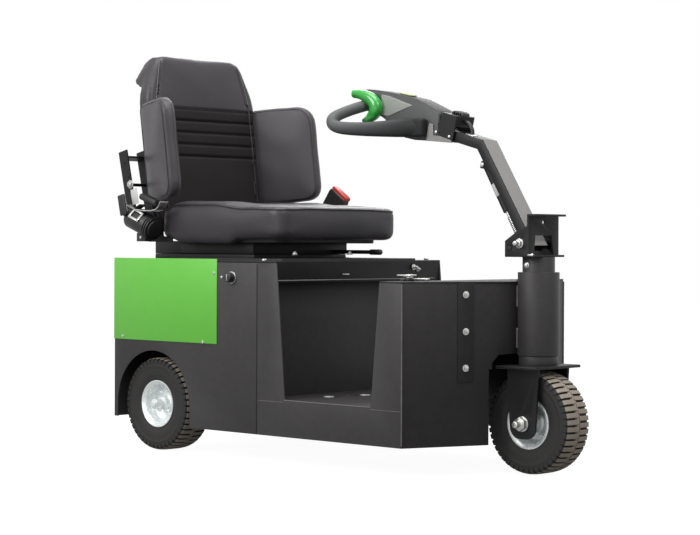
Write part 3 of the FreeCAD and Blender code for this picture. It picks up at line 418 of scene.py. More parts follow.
def sweep(path, radii, sides, square=0.0, up=Z, closed=False):
    """Carries a ring along a path. radii gives half width and half height, for the whole path or at each
    point; square makes the ring boxier."""
    before = set(bm.verts)
    path = [Vector(p) for p in path]
    ring = bmesh.ops.create_circle(bm, cap_ends=False, segments=sides, radius=1)["verts"]
    for vert in ring:
        vert.co *= 1 + square * (1 / max(abs(vert.co.x), abs(vert.co.y)) - 1)
    start_edges = edges = parts_of(ring)
    stations = []
    for index, point in enumerate(path):
        following = path[(index + 1) % len(path)] if closed or index + 1 < len(path) else point
        previous = path[index - 1] if closed or index else point
        tangent = (following - previous).normalized()
        side = tangent.cross(up).normalized()
        width, height = radii if isinstance(radii, tuple) else radii[index]
        turn = Matrix((side * width, side.cross(tangent) * height, tangent)).transposed().to_4x4()
        stations.append(at(point) @ turn)
    move(ring, stations[0])
    for last, station in zip(stations, stations[1:]):
        grown = bmesh.ops.extrude_edge_only(bm, edges=edges)["geom"]
        edges = of_kind(grown, BMEdge)
        move(of_kind(grown, BMVert), station @ last.inverted())
    if closed:
        bmesh.ops.bridge_loops(bm, edges=start_edges + edges)
    else:
        bmesh.ops.edgeloop_fill(bm, edges=start_edges)
        bmesh.ops.edgeloop_fill(bm, edges=edges)
    face_out(fresh(before))


def weld(start, end, radius, ripple=4.5):
    """A weld bead: a thin run with a ripple for each pulse of the torch."""
    start, end = Vector(start), Vector(end)
    steps = max(4, int((end - start).length / ripple) * 2)
    path = [start.lerp(end, i / steps) for i in range(steps + 1)]
    swell = [0.5 if i in (0, steps) else (1.0 if i % 2 else 0.78) for i in range(steps + 1)]
    lean = X if abs((end - start).normalized().z) > 0.9 else Z
    sweep(path, [(radius * s, radius * s) for s in swell], 8, up=lean)


def turned(profile):
    """Spins a closed (y, radius) profile about the Y axis."""
    before = set(bm.verts)
    verts = [bm.verts.new((0, y, r)) for y, r in profile]
    edges = [bm.edges.new((a, b)) for a, b in zip(verts, verts[1:] + verts[:1])]
    bmesh.ops.spin(bm, geom=verts + edges, cent=(0, 0, 0), axis=Y, angle=tau, steps=96,
                   use_merge=True)
    bmesh.ops.remove_doubles(bm, verts=fresh(before), dist=0.001)
    face_out(fresh(before))


def flip_side(verts=None):
    """Adds a copy on the machine's other side, of all there is or of some vertices."""
    copied = bmesh.ops.duplicate(bm, geom=whole(verts or bm.verts))["geom"]
    bmesh.ops.scale(bm, vec=(1, -1, 1), verts=of_kind(copied, BMVert))
    bmesh.ops.reverse_faces(bm, faces=of_kind(copied, BMFace))


# %% [markdown]
# A real sheet shows a thin bright line where its edge is rounded. So the flat, welded parts are copied,
# their triangles are joined back into flat faces, and their sharp edges get a small bevel. The copy then
# stands for the measured part.

# %% Round the edges of the sheet-metal parts
def round_node(node, material, width, body="chassis"):
    bm.from_mesh(frame["nodes"][node].data)
    resize(METRE)
    bmesh.ops.remove_doubles(bm, verts=bm.verts, dist=0.01)
    bmesh.ops.dissolve_limit(bm, angle_limit=radians(1.5), verts=bm.verts, edges=bm.edges)
    soften(creases(bm.edges, radians(35)), width)
    finish(node + "_edged", material, node, [node], body, sharp=25)


edged = [
    (charcoal_coat, 0.9, "side_panel_right side_panel_left rear_panel"), (black_coat, 1.2, "deck_plate"),
    (green_sheet, 0.9, "side_covers"),
    (charcoal_coat, 0.9, "battery_bulkhead step_frame_right step_frame_left"),
    # The nose parts take the darker coats: painted shade.
    (charcoal_coat, 0.8, "footwell_pan"), (nose_shaded_coat, 1.3, "nose_plate_right nose_plate_left"),
    (dark_shaded_coat, 1.3, "nose_strips"), (dark_shaded_coat, 0.9, "nose_lid"), (charcoal_coat, 1.5, "steering_head_tube"),
    (black_coat, 1.5, "chassis_rails"), (black_coat, 2.5, "tow_coupling"), (black_coat, 1.5, "seat_slides"),
    (black_coat, 2.0, "seat_frame"), (black_coat, 1.2, "head_bracket", "steering"),
    (black_coat, 1.5, "fork", "steering"), (charcoal_coat, 1.2, "steering_stem", "steering"),
    (black_coat, 2.2, "tiller_tube", "tiller")]
for coat, width, nodes, *body in edged:
    for node in nodes.split():
        round_node(node, coat, width, *body)

plain_finish = {"transaxle": cast_coat, "battery_pack": black_plastic, "charge_socket": black_plastic,
                "belt_bracket": black_coat, "strut_cylinder": black_coat, "strut_rod": chrome_rod}
for node, material in plain_finish.items():
    measured = frame["nodes"][node]
    if not measured.material_slots:
        measured.data.materials.append(material)
    for material_slot in measured.material_slots:
        material_slot.material = material

# %% [markdown]
# The camera stands level, well back, at the front right. A pale floor takes the shadow and fades into a
# white room; large soft lamps give the even light of a catalogue picture.

# %% Camera, floor and lights
lens = bpy.data.cameras.new("catalogue_view")
lens.sensor_width, lens.lens, lens.shift_y, lens.clip_end = 36, 102.2, -0.0391, 60
camera = put("catalogue_view", lens)
camera.matrix_world = (at((4.0013, -4.3254, 0.6363)) @ Matrix.Rotation(radians(43.03), 4, "Z")
                       @ Matrix.Rotation(radians(90), 4, "X") @ Matrix.Rotation(0.0038, 4, "Z"))
scene.camera = camera
scene.view_settings.view_transform = "Standard"

world = bpy.data.worlds.new("white_room")
scene.world = world
world.use_nodes = True
room = world.node_tree
rays = add_node(room, "LightPath")
mirrored = combine(room, "MULTIPLY", rays.outputs["Is Glossy Ray"], 0.9)
seen = combine(room, "MAXIMUM", rays.outputs["Is Camera Ray"], mirrored)
lit = combine(room, "MAXIMUM", seen, 0.36)
fill(room, room.nodes["Background"], {"Color": (1, 1, 1, 1), "Strength": lit})

bmesh.ops.create_circle(bm, cap_ends=True, segments=64, radius=14)
floor_data = lifted("studio_floor")
floor = put("studio_floor", floor_data)
floor.location.z = -0.001
floor_paint, tree, shader, place = new_material("studio_floor_white")
direct = add_node(tree, "LightPath")
shown = combine(tree, "MULTIPLY", direct.outputs["Is Camera Ray"], 0.95)
shine = combine(tree, "MULTIPLY", direct.outputs["Is Glossy Ray"], 0.5)
glow = add_node(tree, "Emission", {"Color": (1, 1, 1, 1), "Strength": combine(tree, "MAXIMUM", shown, shine)})
both = add_node(tree, "AddShader", {0: shader.outputs[0], 1: glow.outputs[0]})
fill(tree, tree.nodes["Material Output"], {"Surface": both.outputs[0]})
fill(tree, shader, {"Base Color": (0.1, 0.1, 0.1, 1), "Roughness": 0.9})
floor_data.materials.append(floor_paint)


def soft_lamp(name, place, aim, size, power):
    data = bpy.data.lights.new(name, "AREA")
    data.shape, data.size, data.energy = "SQUARE", size, power
    turn = (Vector(aim) - Vector(place)).to_track_quat("-Z", "Y").to_matrix().to_4x4()
    put(name, data).matrix_world = at(place) @ turn


soft_lamp("key_softbox", (-1.1, -4.3, 3.0), (-0.1, 0, 0.5), 2.2, 124)
soft_lamp("front_softbox", (2.9, -0.2, 3.0), (0.5, 0, 0.7), 1.2, 26)
soft_lamp("back_softbox", (-2.6, 3.0, 3.0), (0, 0, 0.6), 2.4, 70)
soft_lamp("low_softbox", (1.3, -4.3, 0.9), (0.1, -0.3, 0.35), 1.4, 17)
soft_lamp("top_softbox", (0.4, -0.4, 4.0), (0, 0, 0), 2.6, 115)

# %% [markdown]
# The rear side sheet and the step frame meet in an upright joint; a thin near-black strip in it is painted
# shadow. Beside the sill, where sheets are welded, a lighter line is painted highlight. Thin light strips
# along the sill and the deck's lip are painted highlight on those edges. Two flat studs hold the floor.

# %% Painted joint shadow, weld-line highlights, edge highlights and floor studs
# Painted shadow: a near-black strip in the upright joint.
block((-67.5, 355, 82), (-64.5, 357.5, 566), 0.3)
flip_side()
finish("side_joint_painted_shadow", painted_shadow_black, "side_panel_right")

# Painted highlight: lighter lines where the sheets are welded beside the sill.
for start, end in ((-60, 40), (373, 483)):
    block((start, 356, 177.3), (end, 357.4, 178.9), 0.3)
flip_side()
finish("weld_line_highlights", weld_highlight_coat, "step_frame_right")

# Painted highlight: light strips on the sill and the deck's lip.
block((44, 352.6, 183.6), (374, 357.4, 184.8), 0.3)
flip_side()
block((11.6, -352, 519.6), (13.4, 330, 522), 0.4)
finish("edge_highlights", strip_metal, "step_frame_right")

for x, y in ((52, -182), (83, -61)):
    bar(15, 2.2, (x, y, 184), Z, 32, 1)
finish("floor_studs", zinc, "zinc")

# %% [markdown]
# Each tyre is a turned carcass with a ring of tread bars on either side, the two rings half a step apart;
# the bars leave open slots at the shoulder, which give the edge of the wheel its teeth. One bar is drawn,
# bevelled, and spun round the axle as forty-six copies. The dusty finish starts at a distance from the axle.

# %% Tyres
BARS = 46
tread_r, carcass_r, shoulder_r, dusty_r = 140.0, 132.5, 121, 134.6
carcass = [(41, 66), (43.5, 69), (44, 74), (48.5, 82), (50.5, 92), (51, 104), (50.6, 112), (51.6, 114),
           (51, 116.5), (50.4, 123), (48.4, 129.5), (44, 131.5), (30, carcass_r), (9, 133), (6, 138.2)]
tread_bar = [(2, 128), (2, tread_r), (24, 139.8), (39, 138.6), (47, 136.2), (51.4, 132), (52, 122), (44, 120)]


def tyre(name, node, body, center):
    turned([(-y, r) for y, r in carcass] + carcass[::-1] + [(38, 66), (30, 66), (-30, 66), (-38, 66)])
    for side in (-1, 1):
        before = set(bm.verts)
        verts = plate([(side * y, r) for y, r in tread_bar], 12.8, facing(-6.4), 0)
        edges = parts_of(verts)
        soften([e for e in edges if min(hypot(v.co.x, v.co.z) for v in e.verts) > shoulder_r], 0.9, 1)
        verts = fresh(before)
        if side > 0:
            move(verts, Matrix.Rotation(pi / BARS, 4, "Y"))
        bmesh.ops.spin(bm, geom=whole(verts), cent=(0, 0, 0), axis=Y, steps=BARS - 1,
                       angle=tau * (BARS - 1) / BARS, use_duplicate=True)
    for face in bm.faces:
        spot = face.calc_center_median()
        face.material_index = int(hypot(spot.x, spot.z) > dusty_r)
    bmesh.ops.translate(bm, vec=center, verts=bm.verts)
    finish(name, [sidewall_rubber, tread_rubber], "tyre_rubber", [node], body)


# %% [markdown]
# The rims are pressed steel: a rolled lip, a sloping well, a flat disc with four nuts, and a hub tube that
# stands out of the disc on the machine's outer side.

# %% Rims
pressed = [(-13, 22), (-9, 27), (-8.5, 47), (-12, 51), (-30, 54), (-38, 56.5), (-42, 60), (-44, 65.5),
           (-46.8, 68.5), (-46.4, 70.6), (-44, 71), (-42, 68), (-40.5, 63), (-37, 61.8), (37, 61.8),
           (40.5, 63), (42, 68), (44, 71), (46.4, 70.6), (46.8, 68.5), (44, 65.5), (42, 60), (38, 57),
           (-4, 54), (-5, 50), (-5, 27), (0, 22), (51.5, 21.5), (54, 19), (54, 13)]


def rim(name, node, body, center, outside, hub_end):
    turned([(-hub_end, 13), (-hub_end, 19), (2.5 - hub_end, 21.5)] + pressed)
    for index in range(4):
        angle = tau * (index + 0.35) / 4
        bolt((37.5 * cos(angle), -8.8, 37.5 * sin(angle)), -Y, 12, 5.5, 9, 3)
    bar(4, 14, (0, -16, 58), Vector((0, -1, -0.35)), 12, 0.6)
    if outside > 0:
        move(bm.verts, Matrix.Rotation(pi, 4, "Z"))
    bmesh.ops.translate(bm, vec=center, verts=bm.verts)
    finish(name, zinc, "zinc", [node], body)


def middle(node):
    low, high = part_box(node)
    return (low + high) / 2 * METRE


wheels = [("front", "front_wheel", -1), ("rear_right", "rear_wheel_right", -1),
          ("rear_left", "rear_wheel_left", 1)]
for where, body, outside in wheels:
    center = middle(where + "_tyre")
    tyre(where + "_tyre_treaded", where + "_tyre", body, center)
    rim(where + "_rim_pressed", where + "_rim", body, center, outside, 54 if where == "front" else 30)

# %% [markdown]
# The front axle is a through bolt: a washer and a nylon-insert nut outside each fork leg, with the bolt's
# rounded end standing proud. A rear hub ends in a plated cap and a nut.

# %% Axle ends
axle = middle("front_axle")
bar(12.4, 150, (axle.x, -75, axle.z), Y, 40, 0.5)
both_ends(axle.x, axle.z, [(21, 2.4, 70.2, 36, 0.6), (34 / sqrt(3), 13, 72.4, 6, 1.4),
                           (15.5, 4.5, 84.5, 32, 1.5, 13), (9.5, 17, 88, 28, 2.2)])
finish("front_axle_bolt", bolt_steel, "zinc", ["front_axle"], body="steering")

for where, body, outside in wheels[1:]:
    center, out = middle(where + "_tyre"), Vector((0, outside, 0))
    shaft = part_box("transaxle")[1].y * METRE - abs(center.y)
    bar(17, 3, center + out * 29, out, 32, 0.8)
    bar(14.8, shaft - 26, center + out * 29, out, 32, 2.5)
    bar(11, 5, center + out * (shaft + 2.5), out, 6, 1)
    finish(where + "_hub_nut", zinc, "zinc", body=body)

# %% [markdown]
# The operator's head is an ABS shell, thin at the thumb end and deep where the arm holds it, with a
# narrower crown. A pale insert fills the side behind the thumb paddle, and a plain oval cap closes the
# screw pocket on top. One side outline is drawn, thickened across, rounded and narrowed towards the crown.

# %% Control head
narrow_from, narrow_over, narrowing = 955, 128, 0.26


def shell(outline, half_width, round_by, name, material, replaces=()):
    plate(outline, 2 * half_width, upright(-half_width), 0)
    soften(creases(bm.edges, 0.35), round_by, 4)
    for vert in bm.verts:
        vert.co.y *= 1 - narrowing * clamp((vert.co.z - narrow_from) / narrow_over)
    bm.normal_update()
    for face in bm.faces:
        face.material_index = int(isinstance(material, list) and face.normal.z > 0.5)
    finish(name, material, "control_head", replaces, body="tiller")


crown = [(50, 1080), (99, 1074.5), (143, 1067.5), (177, 1060), (250, 1043), (288, 1027), (314, 1015),
         (344, 1001)]
belly = [(344, 921), (300, 921), (250, 924), (212, 932), (176, 954), (150, 977), (122, 995), (84, 1009),
         (50, 1018)]
shell(crown + belly, 42.5, 7, "head_shell", [shell_plastic, top_plastic], ["control_head"])
insert = [(118, 1061), (150, 1055), (242, 1023), (152, 996), (118, 1001)]
shell(insert, 44, 2.5, "head_side_insert", pale_plastic)
shell([(47, 1078), (64, 1080), (64, 1016), (47, 1020)], 39, 4, "head_rear_pad", black_plastic)
cap = bmesh.ops.create_uvsphere(bm, u_segments=40, v_segments=20, radius=1)["verts"]
bmesh.ops.scale(bm, vec=(30, 20, 6), verts=cap)
move(cap, tilted((192, 0, 1060), 13))
finish("head_oval_cap", badge_plastic, "control_head", body="tiller")

# %% [markdown]
# Two loops of rubber over steel give the hands a hold at any height. Each starts as a deep, flat boss on
# the side of the head, thins to a round grip, swings outward and comes back over the thumb: one ring of
# points, carried along a smooth path while its width and height change.

# %% Handle loops and thumb paddles
loop_path = [(300, -52, 957.5), (280, -53, 957.5), (230, -66, 958), (180, -95, 956), (130, -130, 955.5),
             (90, -156, 958), (66, -168, 963), (53, -170, 971), (47, -166, 982), (46, -152, 993),
             (50, -128, 1004), (58, -95, 1016), (66, -62, 1026), (74, -36, 1034)]
loop_size = [(12, 24), (14, 26.5), (16, 26.5), (16.5, 23), (17, 20), (17.5, 18.5), (17, 17.5)]
loop_size += [(17, 17)] * 3 + [(16.5, 16.5)] * 4
sweep(flow(loop_path, 7), flow(loop_size, 7), 28, square=0.06)
block((256, -67, 930.5), (303, -41, 984.5), 9, 4)
soften(creases(bm.edges, 1.0), 5, 3)
flip_side()
finish("handle_loops_moulded", grip_rubber, "handle_loops", ["handle_loops"], body="tiller")

paddle_path = [(28, -50, 1066), (48, -51, 1064), (70, -52, 1058), (96, -52, 1046), (112, -52, 1027),
               (109, -52, 1007), (90, -51, 992), (68, -50, 985)]
paddle_size = [(13, 15), (14.5, 17), (16.5, 18), (19, 18), (20, 18), (18, 18), (13, 16), (8, 12)]
sweep(flow(paddle_path), flow(paddle_size), 24, square=0.12, up=Y)
soften(creases(bm.edges, 1.0), 3, 3)
flip_side()
finish("thumb_paddles_moulded", paddle_plastic, "throttle_paddles", ["throttle_paddles"], body="tiller")

# %% [markdown]
# The head is held in a folded clamp with two screws on either side and a light grey strap under it, and the
# cable leaves through a short ribbed gland on top. The arm is a black box tube with a mitred bend; a light
# grey strip along the upper face of its long leg stands for the light its dark paint reflects: painted
# reflection.

# %% Clamp details and arm strip
plate([(357, 999), (410, 986), (392, 913), (322, 934), (326, 966), (347, 973)], 5, upright(-40), 1.2)
flip_side()
plate([(357, 999), (410, 986), (408.8, 981), (355.8, 994)], 76, upright(-38))
plate([(410, 986), (402, 955), (397, 956), (405, 987)], 76, upright(-38))
finish("arm_clamp_folded", black_coat, "tiller_clamp", ["tiller_clamp"], body="tiller")

strap = [(311, 969), (325.5, 965.5), (326, 934), (350, 931.5), (392, 918), (394, 911), (299, 920), (304, 944)]
plate(strap, 2, upright(-45), 0.4)
flip_side()
finish("head_strap", strip_metal, "light_plastic", body="tiller")

for x, y, z in ((337, -44.6, 943), (382, -39.6, 929)):
    bar(5.5, 4, (x, y, z), -Y, 24, 1.6, top=3.5)
flip_side()
finish("clamp_screws", bolt_steel, "zinc", body="tiller")

for index in range(5):
    bar(8.5 if index % 2 else 7, 30, (377 + index * 7, -15, 997 - index * 1.7), Y, 28, 1.5)
sweep(flow([(404, 0, 972), (420, 0, 966), (432, 0, 950), (434, 0, 936)]), (6, 6), 16, up=Y)
finish("cable_gland", black_plastic, "black_plastic", body="tiller")

pivot, bend = Vector((656, 0, 629)), Vector((486.8, 0, 904.1))
foot = pivot - Vector((-0.5239, 0, 0.8518)) * 16
long_top, short_top = Vector((0.8518, 0, 0.5239)), Vector((0.2671, 0, 0.9636))
mitre = Vector((0.6459, 0, 0.8587))
# Painted reflection: a light grey strip on the arm's upper face, where the dark paint reflects the light.
strip = [foot + long_top * 14.2, bend + mitre * 14.2, bend + mitre * 16.4, foot + long_top * 16.4]
plate([(p.x, p.z) for p in strip], 58, upright(-29), 0.7)
finish("arm_reflection_strip", strip_metal, "light_plastic", body="tiller")

keeper_at = bend + Vector((-0.9636, 0, 0.2671)) * 50 + short_top * 15.4
block((-14, -26, -1.2), (14, -4, 1.2), 0.8, place=tilted(keeper_at, 15.5))
finish("cable_keeper", bolt_steel, "zinc", body="tiller")

# %% [markdown]
# A gas strut balances the arm. Its cylinder hangs from a pin near the bend and carries a plain silver
# label; the rod below it is sheathed in a close coil that keeps dirt off. The arm turns on a bolt with a
# broad washer and a nut whose thread stands proud.

# %% Strut, pivot bolt and bracket fittings
upper, down = Vector((485, 0, 848)), Vector((0.49972, 0, -0.86618))
bar(11.6, 39, upper + down * 62, down, 40, 0.3)
finish("strut_label", label_film, "strut_cylinder", body="strut_barrel")

for index in range(16):
    bar(7.6, 2.6, upper + down * (168 + index * 5), down, 28)
finish("strut_coil", bolt_steel, "strut_rod", body="strut_slider")

bar(4, 44, (upper.x, -22, upper.z), Y, 24)
both_ends(upper.x, upper.z, [(6, 3, 18, 28)])
finish("strut_upper_pin", bolt_steel, "zinc", body="tiller")

bar(8, 128, (pivot.x, -64, pivot.z), Y, 32, 0.5)
both_ends(pivot.x, pivot.z, [(13.5, 2.4, 66.8, 40, 0.6), (11, 9, 69, 6, 1.2), (6.5, 14, 77, 24, 1.6)])
finish("arm_pivot_bolt", bolt_steel, "zinc", ["tiller_pins"], body="steering")

for radius, length, y, round_by in ((3.5, 132, -66, 0.6), (8, 2.5, -68.5, 0.8)):
    bar(radius, length, (620, y, 614), Y, 24, round_by)
finish("strut_lower_pin", black_coat, "zinc", body="steering")

bolt((696, -61, 598), -Y, 8, 4, 0)
block((684, -68.6, 595), (702, -66.8, 600), 0.4)
bolt((663, -43.6, 569), -Y, 10, 5, 8)
finish("collar_screw", bolt_steel, "zinc", body="steering")

# %% [markdown]
# Short stitch welds join the nose plates to the head tube, with a gap between them so that the thin plates
# do not warp; a bead runs down each front corner, and two more follow the head tube. The beads are coloured
# lighter than the plates: painted highlight. Each nose strip is held by three zinc bolts.

# %% Nose welds, strip bolts and lid latch
head_tube_x = 670


def tube_weld(radius, z, angles, thick, thin, closed=False):
    """A rippled bead that follows the head tube."""
    path = [(head_tube_x + radius * cos(radians(a)), radius * sin(radians(a)), z) for a in angles]
    sweep(path, [(thick if i % 2 else thin,) * 2 for i in range(len(path))], 8, closed=closed)


# Weld beads in the lighter weld coat: painted highlight.
for low, high in ((343, 398), (455, 514)):
    weld((627.5, -39, low), (627.5, -39, high), 3.4)
weld((487, -357, 86), (487, -357, 518), 2.1, 7)
flip_side()
tube_weld(59, 526, range(142, 219, 4), 3.2, 2.5)
tube_weld(45.5, 299, range(0, 360, 6), 4.2, 3.4, closed=True)
finish("nose_weld_beads", weld_highlight_coat, "charcoal_paint")

for z in (490, 390, 291):
    bolt((564.0, -183.2, z), (0.916, -0.402, 0), 12, 6, 9.5, 4)
flip_side()
latch_x, latch_y = 422, -252
bar(10, 5, (latch_x, latch_y, 533), Z, 28)
block((408, -266, 537), (436, -238, 543), 2.5, 3)
block((378, -256, 539), (412, -248, 542), 1)
bolt((16, 228, 555), X, 12, 6, 9, 9)
bolt((16, 247, 549), X, 9, 5, 7, 5)
block((434, -257, 530), (492, -248, 533), 1)
block((15, -90, 534.5), (18.5, -60, 538))
for x, z in ((-648, 341), (-289, 336), (-243, 539)):
    flip_side(bar(4.6, 2.6, (x, -359.6, z), -Y, 24, 1.1))
for y in (-352, 352):
    bar(7.5, 7, (-41, y, 575.5), Z, 28, 3)
for x, y in ((-655, -165), (-655, 165), (-150, -120), (-150, 120)):
    bolt((x, y, 591.5), Z, 13, 6, 10, 4)
finish("chassis_bolts", bolt_steel, "zinc")

bar(14, 9, (latch_x, latch_y, 524.8), Z, 32, 2)
block((396, -264, 524.6), (410, -240, 531))
finish("lid_latch_base", black_plastic, "black_plastic")

# %% [markdown]
# Beside the cover sits a key switch: a black barrel with a slot, in a bright ring, and one small screw.

# %% Key switch
key_x, key_z, cover_y = -171, 526.8, -356.8
bar(17.5, 3, (key_x + 1, cover_y, key_z), -Y, 48)
bar(4, 3, (-212, cover_y, 527.4), -Y, 20)
block((key_x - 1.5, -378, 518), (key_x + 1.5, -376.8, 536), 0.5)
finish("key_switch_ring", bolt_steel, "zinc")

for radius, length, round_by in ((13.2, 18, 2.2), (15.2, 5, 1.2)):
    bar(radius, length, (key_x, -359, key_z), -Y, 48, round_by)
finish("key_switch_barrel", black_plastic, "black_plastic")

# %% [markdown]
# The lap belt's reel lies along the right side on an upright bracket, ribbed at its front end; a flat foot
# ties the bracket to the seat frame. Over the reel, a bent steel guide and a black clamp turn the webbing
# towards the lap, and a bright square loop keeps it flat. The buckle stands on the far side.

# %% Belt reel, guide and buckle
foot = [(-652, 629), (-652, 692), (-588, 684), (-584, 647), (-542, 641), (-542, 629)]
plate(foot, 6, upright(-256), 1.2)
finish("recliner_foot", black_coat, "belt_bracket")

reel_tilt, reel_mid = radians(20), Vector((-622, -300, 686))
reel_axis = Vector((cos(reel_tilt), 0, -sin(reel_tilt)))
bar(34.6, 92, reel_mid - reel_axis * 58, reel_axis, 64, 3)
for index in range(5):
    bar(33.5 if index % 2 else 37, 4.4, reel_mid + reel_axis * (31 + index * 4.4), reel_axis, 64)
bar(29, 6, reel_mid + reel_axis * 52, reel_axis, 64, 3.5)
block((-640, -314, 630), (-600, -286, 656), 2)
block((-39, -15, -9.5), (39, 15, 9.5), 7, 4, tilted((-588, -305, 757), 19))
finish("belt_reel_housing", black_plastic, "belt_reel", ["belt_reel"])

guide = [(-676, 744), (-664, 737), (-640, 730), (-602, 726), (-566, 725), (-542, 729), (-530, 738),
         (-522, 752)]
plate(guide + [(x + 0.6, z - 3.6) for x, z in reversed(guide)], 34, upright(-324))
normal = Vector((0.342 * 0.6, -0.8, 0.94 * 0.6)).normalized()
across = normal.cross(reel_axis).normalized()
loop_at = (at(reel_mid - reel_axis * 12 + normal * 35)
           @ Matrix((reel_axis, across, normal)).transposed().to_4x4())
for x0, y0, x1, y1 in ((-24, -17, 24, -10), (-24, 10, 24, 17), (-24, -17, -16, 17), (16, -17, 24, 17)):
    block((x0, y0, 0), (x1, y1, 3.5), 1, place=loop_at)
bolt((-682, -302.5, 806), -Y, 17, 6, 13)
bolt((-618, -314, 642), -Y, 9, 4, 0)
finish("belt_guide_and_loop", bolt_steel, "zinc")

block((-14, -0.9, -24), (14, 0.9, 24), 0.5, place=tilted((-661, -304.2, 768), -13.3))
finish("belt_plain_label", label_film, "belt_bracket")

# Near-black discs at the bracket's two holes: painted shadow.
for x, z in ((-710, 871), (-692, 829)):
    bar(4, 1.2, (x, -302.2, z), -Y, 24, 0.3)
finish("belt_bracket_hole_shadows", painted_shadow_black, "belt_bracket")

strap = [(-654, 716), (-640, 732), (-616, 742), (-560, 738)]
plate(strap + [(x - 1, z + 2) for x, z in reversed(strap)], 30, upright(-322), 0.3)
finish("belt_webbing", webbing, "belt_reel")

plate([(-414, 742), (-375, 797), (-364, 802), (-309, 762), (-316, 744)], 26, upright(264), 3)
block((-392, 271, 640), (-340, 283, 746), 3)
finish("buckle_body", black_plastic, "belt_buckle", ["belt_buckle"])

slant = [(-366, 800), (-362, 808), (-356, 808), (-302, 769), (-303, 762), (-308, 758)]
plate(slant, 21, upright(266.5), 2)
finish("buckle_button", red_plastic, "belt_buckle")

bar(6, 190, (-240, 155, 600), X, 24)
bar(8.5, 46, (-97, 155, 600), X, 28, 3.5)
block((-15, -4, -32), (15, 4, 32), 3.2, 3, tilted((-677, -339, 742), -13))
bar(9, 44, (-668, -341, 716), Y, 28, 1.5)
finish("seat_levers_moulded", black_plastic, "seat_levers", ["seat_levers"])

# %% [markdown]
# The seat is foam under a sewn vinyl cover, and every panel swells between its seams. So a slightly small
# form is turned into an even mesh, the seams are held, a cloth simulation blows the panels up, and no point
# may travel further than a cap. The fine dents of the sewn channels are pressed in afterwards.

# %% Padding helpers
FOAM_SQUARE, PRESSURE, SETTLING = 6, 4.0, 20


def rounded(corners, radii, steps=7):
    """An outline with rounded corners."""
    outline = []
    for index, (corner, radius) in enumerate(zip(corners, radii)):
        here, back = Vector(corner), Vector(corners[index - 1])
        on = Vector(corners[(index + 1) % len(corners)])
        enter, leave = here + (back - here).normalized() * radius, here + (on - here).normalized() * radius
        for t in (step / steps for step in range(steps + 1)):
            outline.append(tuple(enter.lerp(here, t).lerp(here.lerp(leave, t), t)))
    return outline


def settled(item):
    """An object's mesh as its modifiers leave it; the object itself goes."""
    mesh = bpy.data.meshes.new_from_object(item.evaluated_get(bpy.context.evaluated_depsgraph_get()))
    bpy.data.objects.remove(item)
    return mesh


def wear(item, times):
    worn = item.modifiers.new("Smooth", "SMOOTH")
    worn.factor, worn.iterations = 0.5, times


def foam():
    """An even mesh of small squares over the form on the bench, its edges worn round."""
    resize(MM)
    item = put("foam", lifted("foam"))
    remesh = item.modifiers.new("Remesh", "REMESH")
    remesh.mode, remesh.voxel_size = "VOXEL", FOAM_SQUARE * MM
    wear(item, 5)
    return settled(item)


def inflate(mesh, held, cap):
    """Blows the cover up. held says how firmly the seams hold a point, from 0 to 1; cap is in millimetres."""
    item = put("cover", mesh)
    sewn = item.vertex_groups.new(name="sewn")
    home = [vert.co.copy() for vert in mesh.vertices]
    for index, place in enumerate(home):
        sewn.add([index], held(place / MM), "REPLACE")
    cloth = item.modifiers.new("Cloth", "CLOTH")
    cover = cloth.settings
    cover.quality, cover.mass, cover.vertex_group_mass = 5, 0.3, "sewn"
    cover.use_pressure, cover.uniform_pressure_force, cover.effector_weights.gravity = True, PRESSURE, 0
    cloth.collision_settings.use_collision = False
    cloth.point_cache.frame_start, cloth.point_cache.frame_end = 1, SETTLING
    for number in range(1, SETTLING + 1):
        scene.frame_set(number)
    swollen = settled(item)
    for vert, start in zip(swollen.vertices, home):
        travel = vert.co - start
        if travel.length > cap * MM:
            vert.co = start + travel * (cap * MM / travel.length)
    scene.frame_set(1)
    item = put("cover", swollen)
    wear(item, 2)
    finer = item.modifiers.new("Subdivision", "SUBSURF")
    finer.levels = finer.render_levels = 1
    return settled(item)


def pad(held, cap, change, place=Matrix()):
    """Makes the form on the bench a pad: foamed, inflated, each point moved by change(point, normal)."""
    bm.from_mesh(inflate(foam(), held, cap))
    resize(METRE)
    bm.normal_update()
    moved = [vert.co + change(vert.co, vert.normal) for vert in bm.verts]
    for vert, target in zip(bm.verts, moved):
        vert.co = target
    move(bm.verts, place)
    bmesh.ops.recalc_face_normals(bm, faces=bm.faces)


def hill(distance, width):
    return exp(-(distance / width) ** 2)


def ease(value, low, high):
    t = clamp((value - low) / (high - low))
    return t * t * (3 - 2 * t)


def skin_of(piece):
    faces = [tuple(face.vertices) for face in piece.data.polygons]
    return BVHTree.FromPolygons([vert.co for vert in piece.data.vertices], faces)


def on_skin(skin, path, lift):
    """Drops a path in millimetres onto a pad's skin."""
    found = [skin.find_nearest(Vector(point) * MM) for point in path]
    return [spot / MM + normal * lift for spot, normal, _, _ in found]


# %% [markdown]
# The cushion has a top panel, a side band and a welt sewn between them. The welt runs high at the back and
# dips at the front corners, where the rider's legs wear it down. The band hangs a little over the frame.

# %% Seat cushion
rear_x, front_x, seat_y, seam_z = -592.0, -70.0, 260.0, 731


def cushion_outline(beyond, steps):
    back, front, side = rear_x - beyond, front_x + beyond, seat_y + beyond
    return rounded([(back, -side), (front, -side), (front, side), (back, side)], [34, 52, 52, 34], steps)


def cushion_held(p):
    if p.z < 645:
        return 1.0
    inside = min(p.x - rear_x, front_x - p.x, seat_y - abs(p.y))
    return 0.95 if abs(p.z - seam_z) < 5 and inside < 26 else 0.0


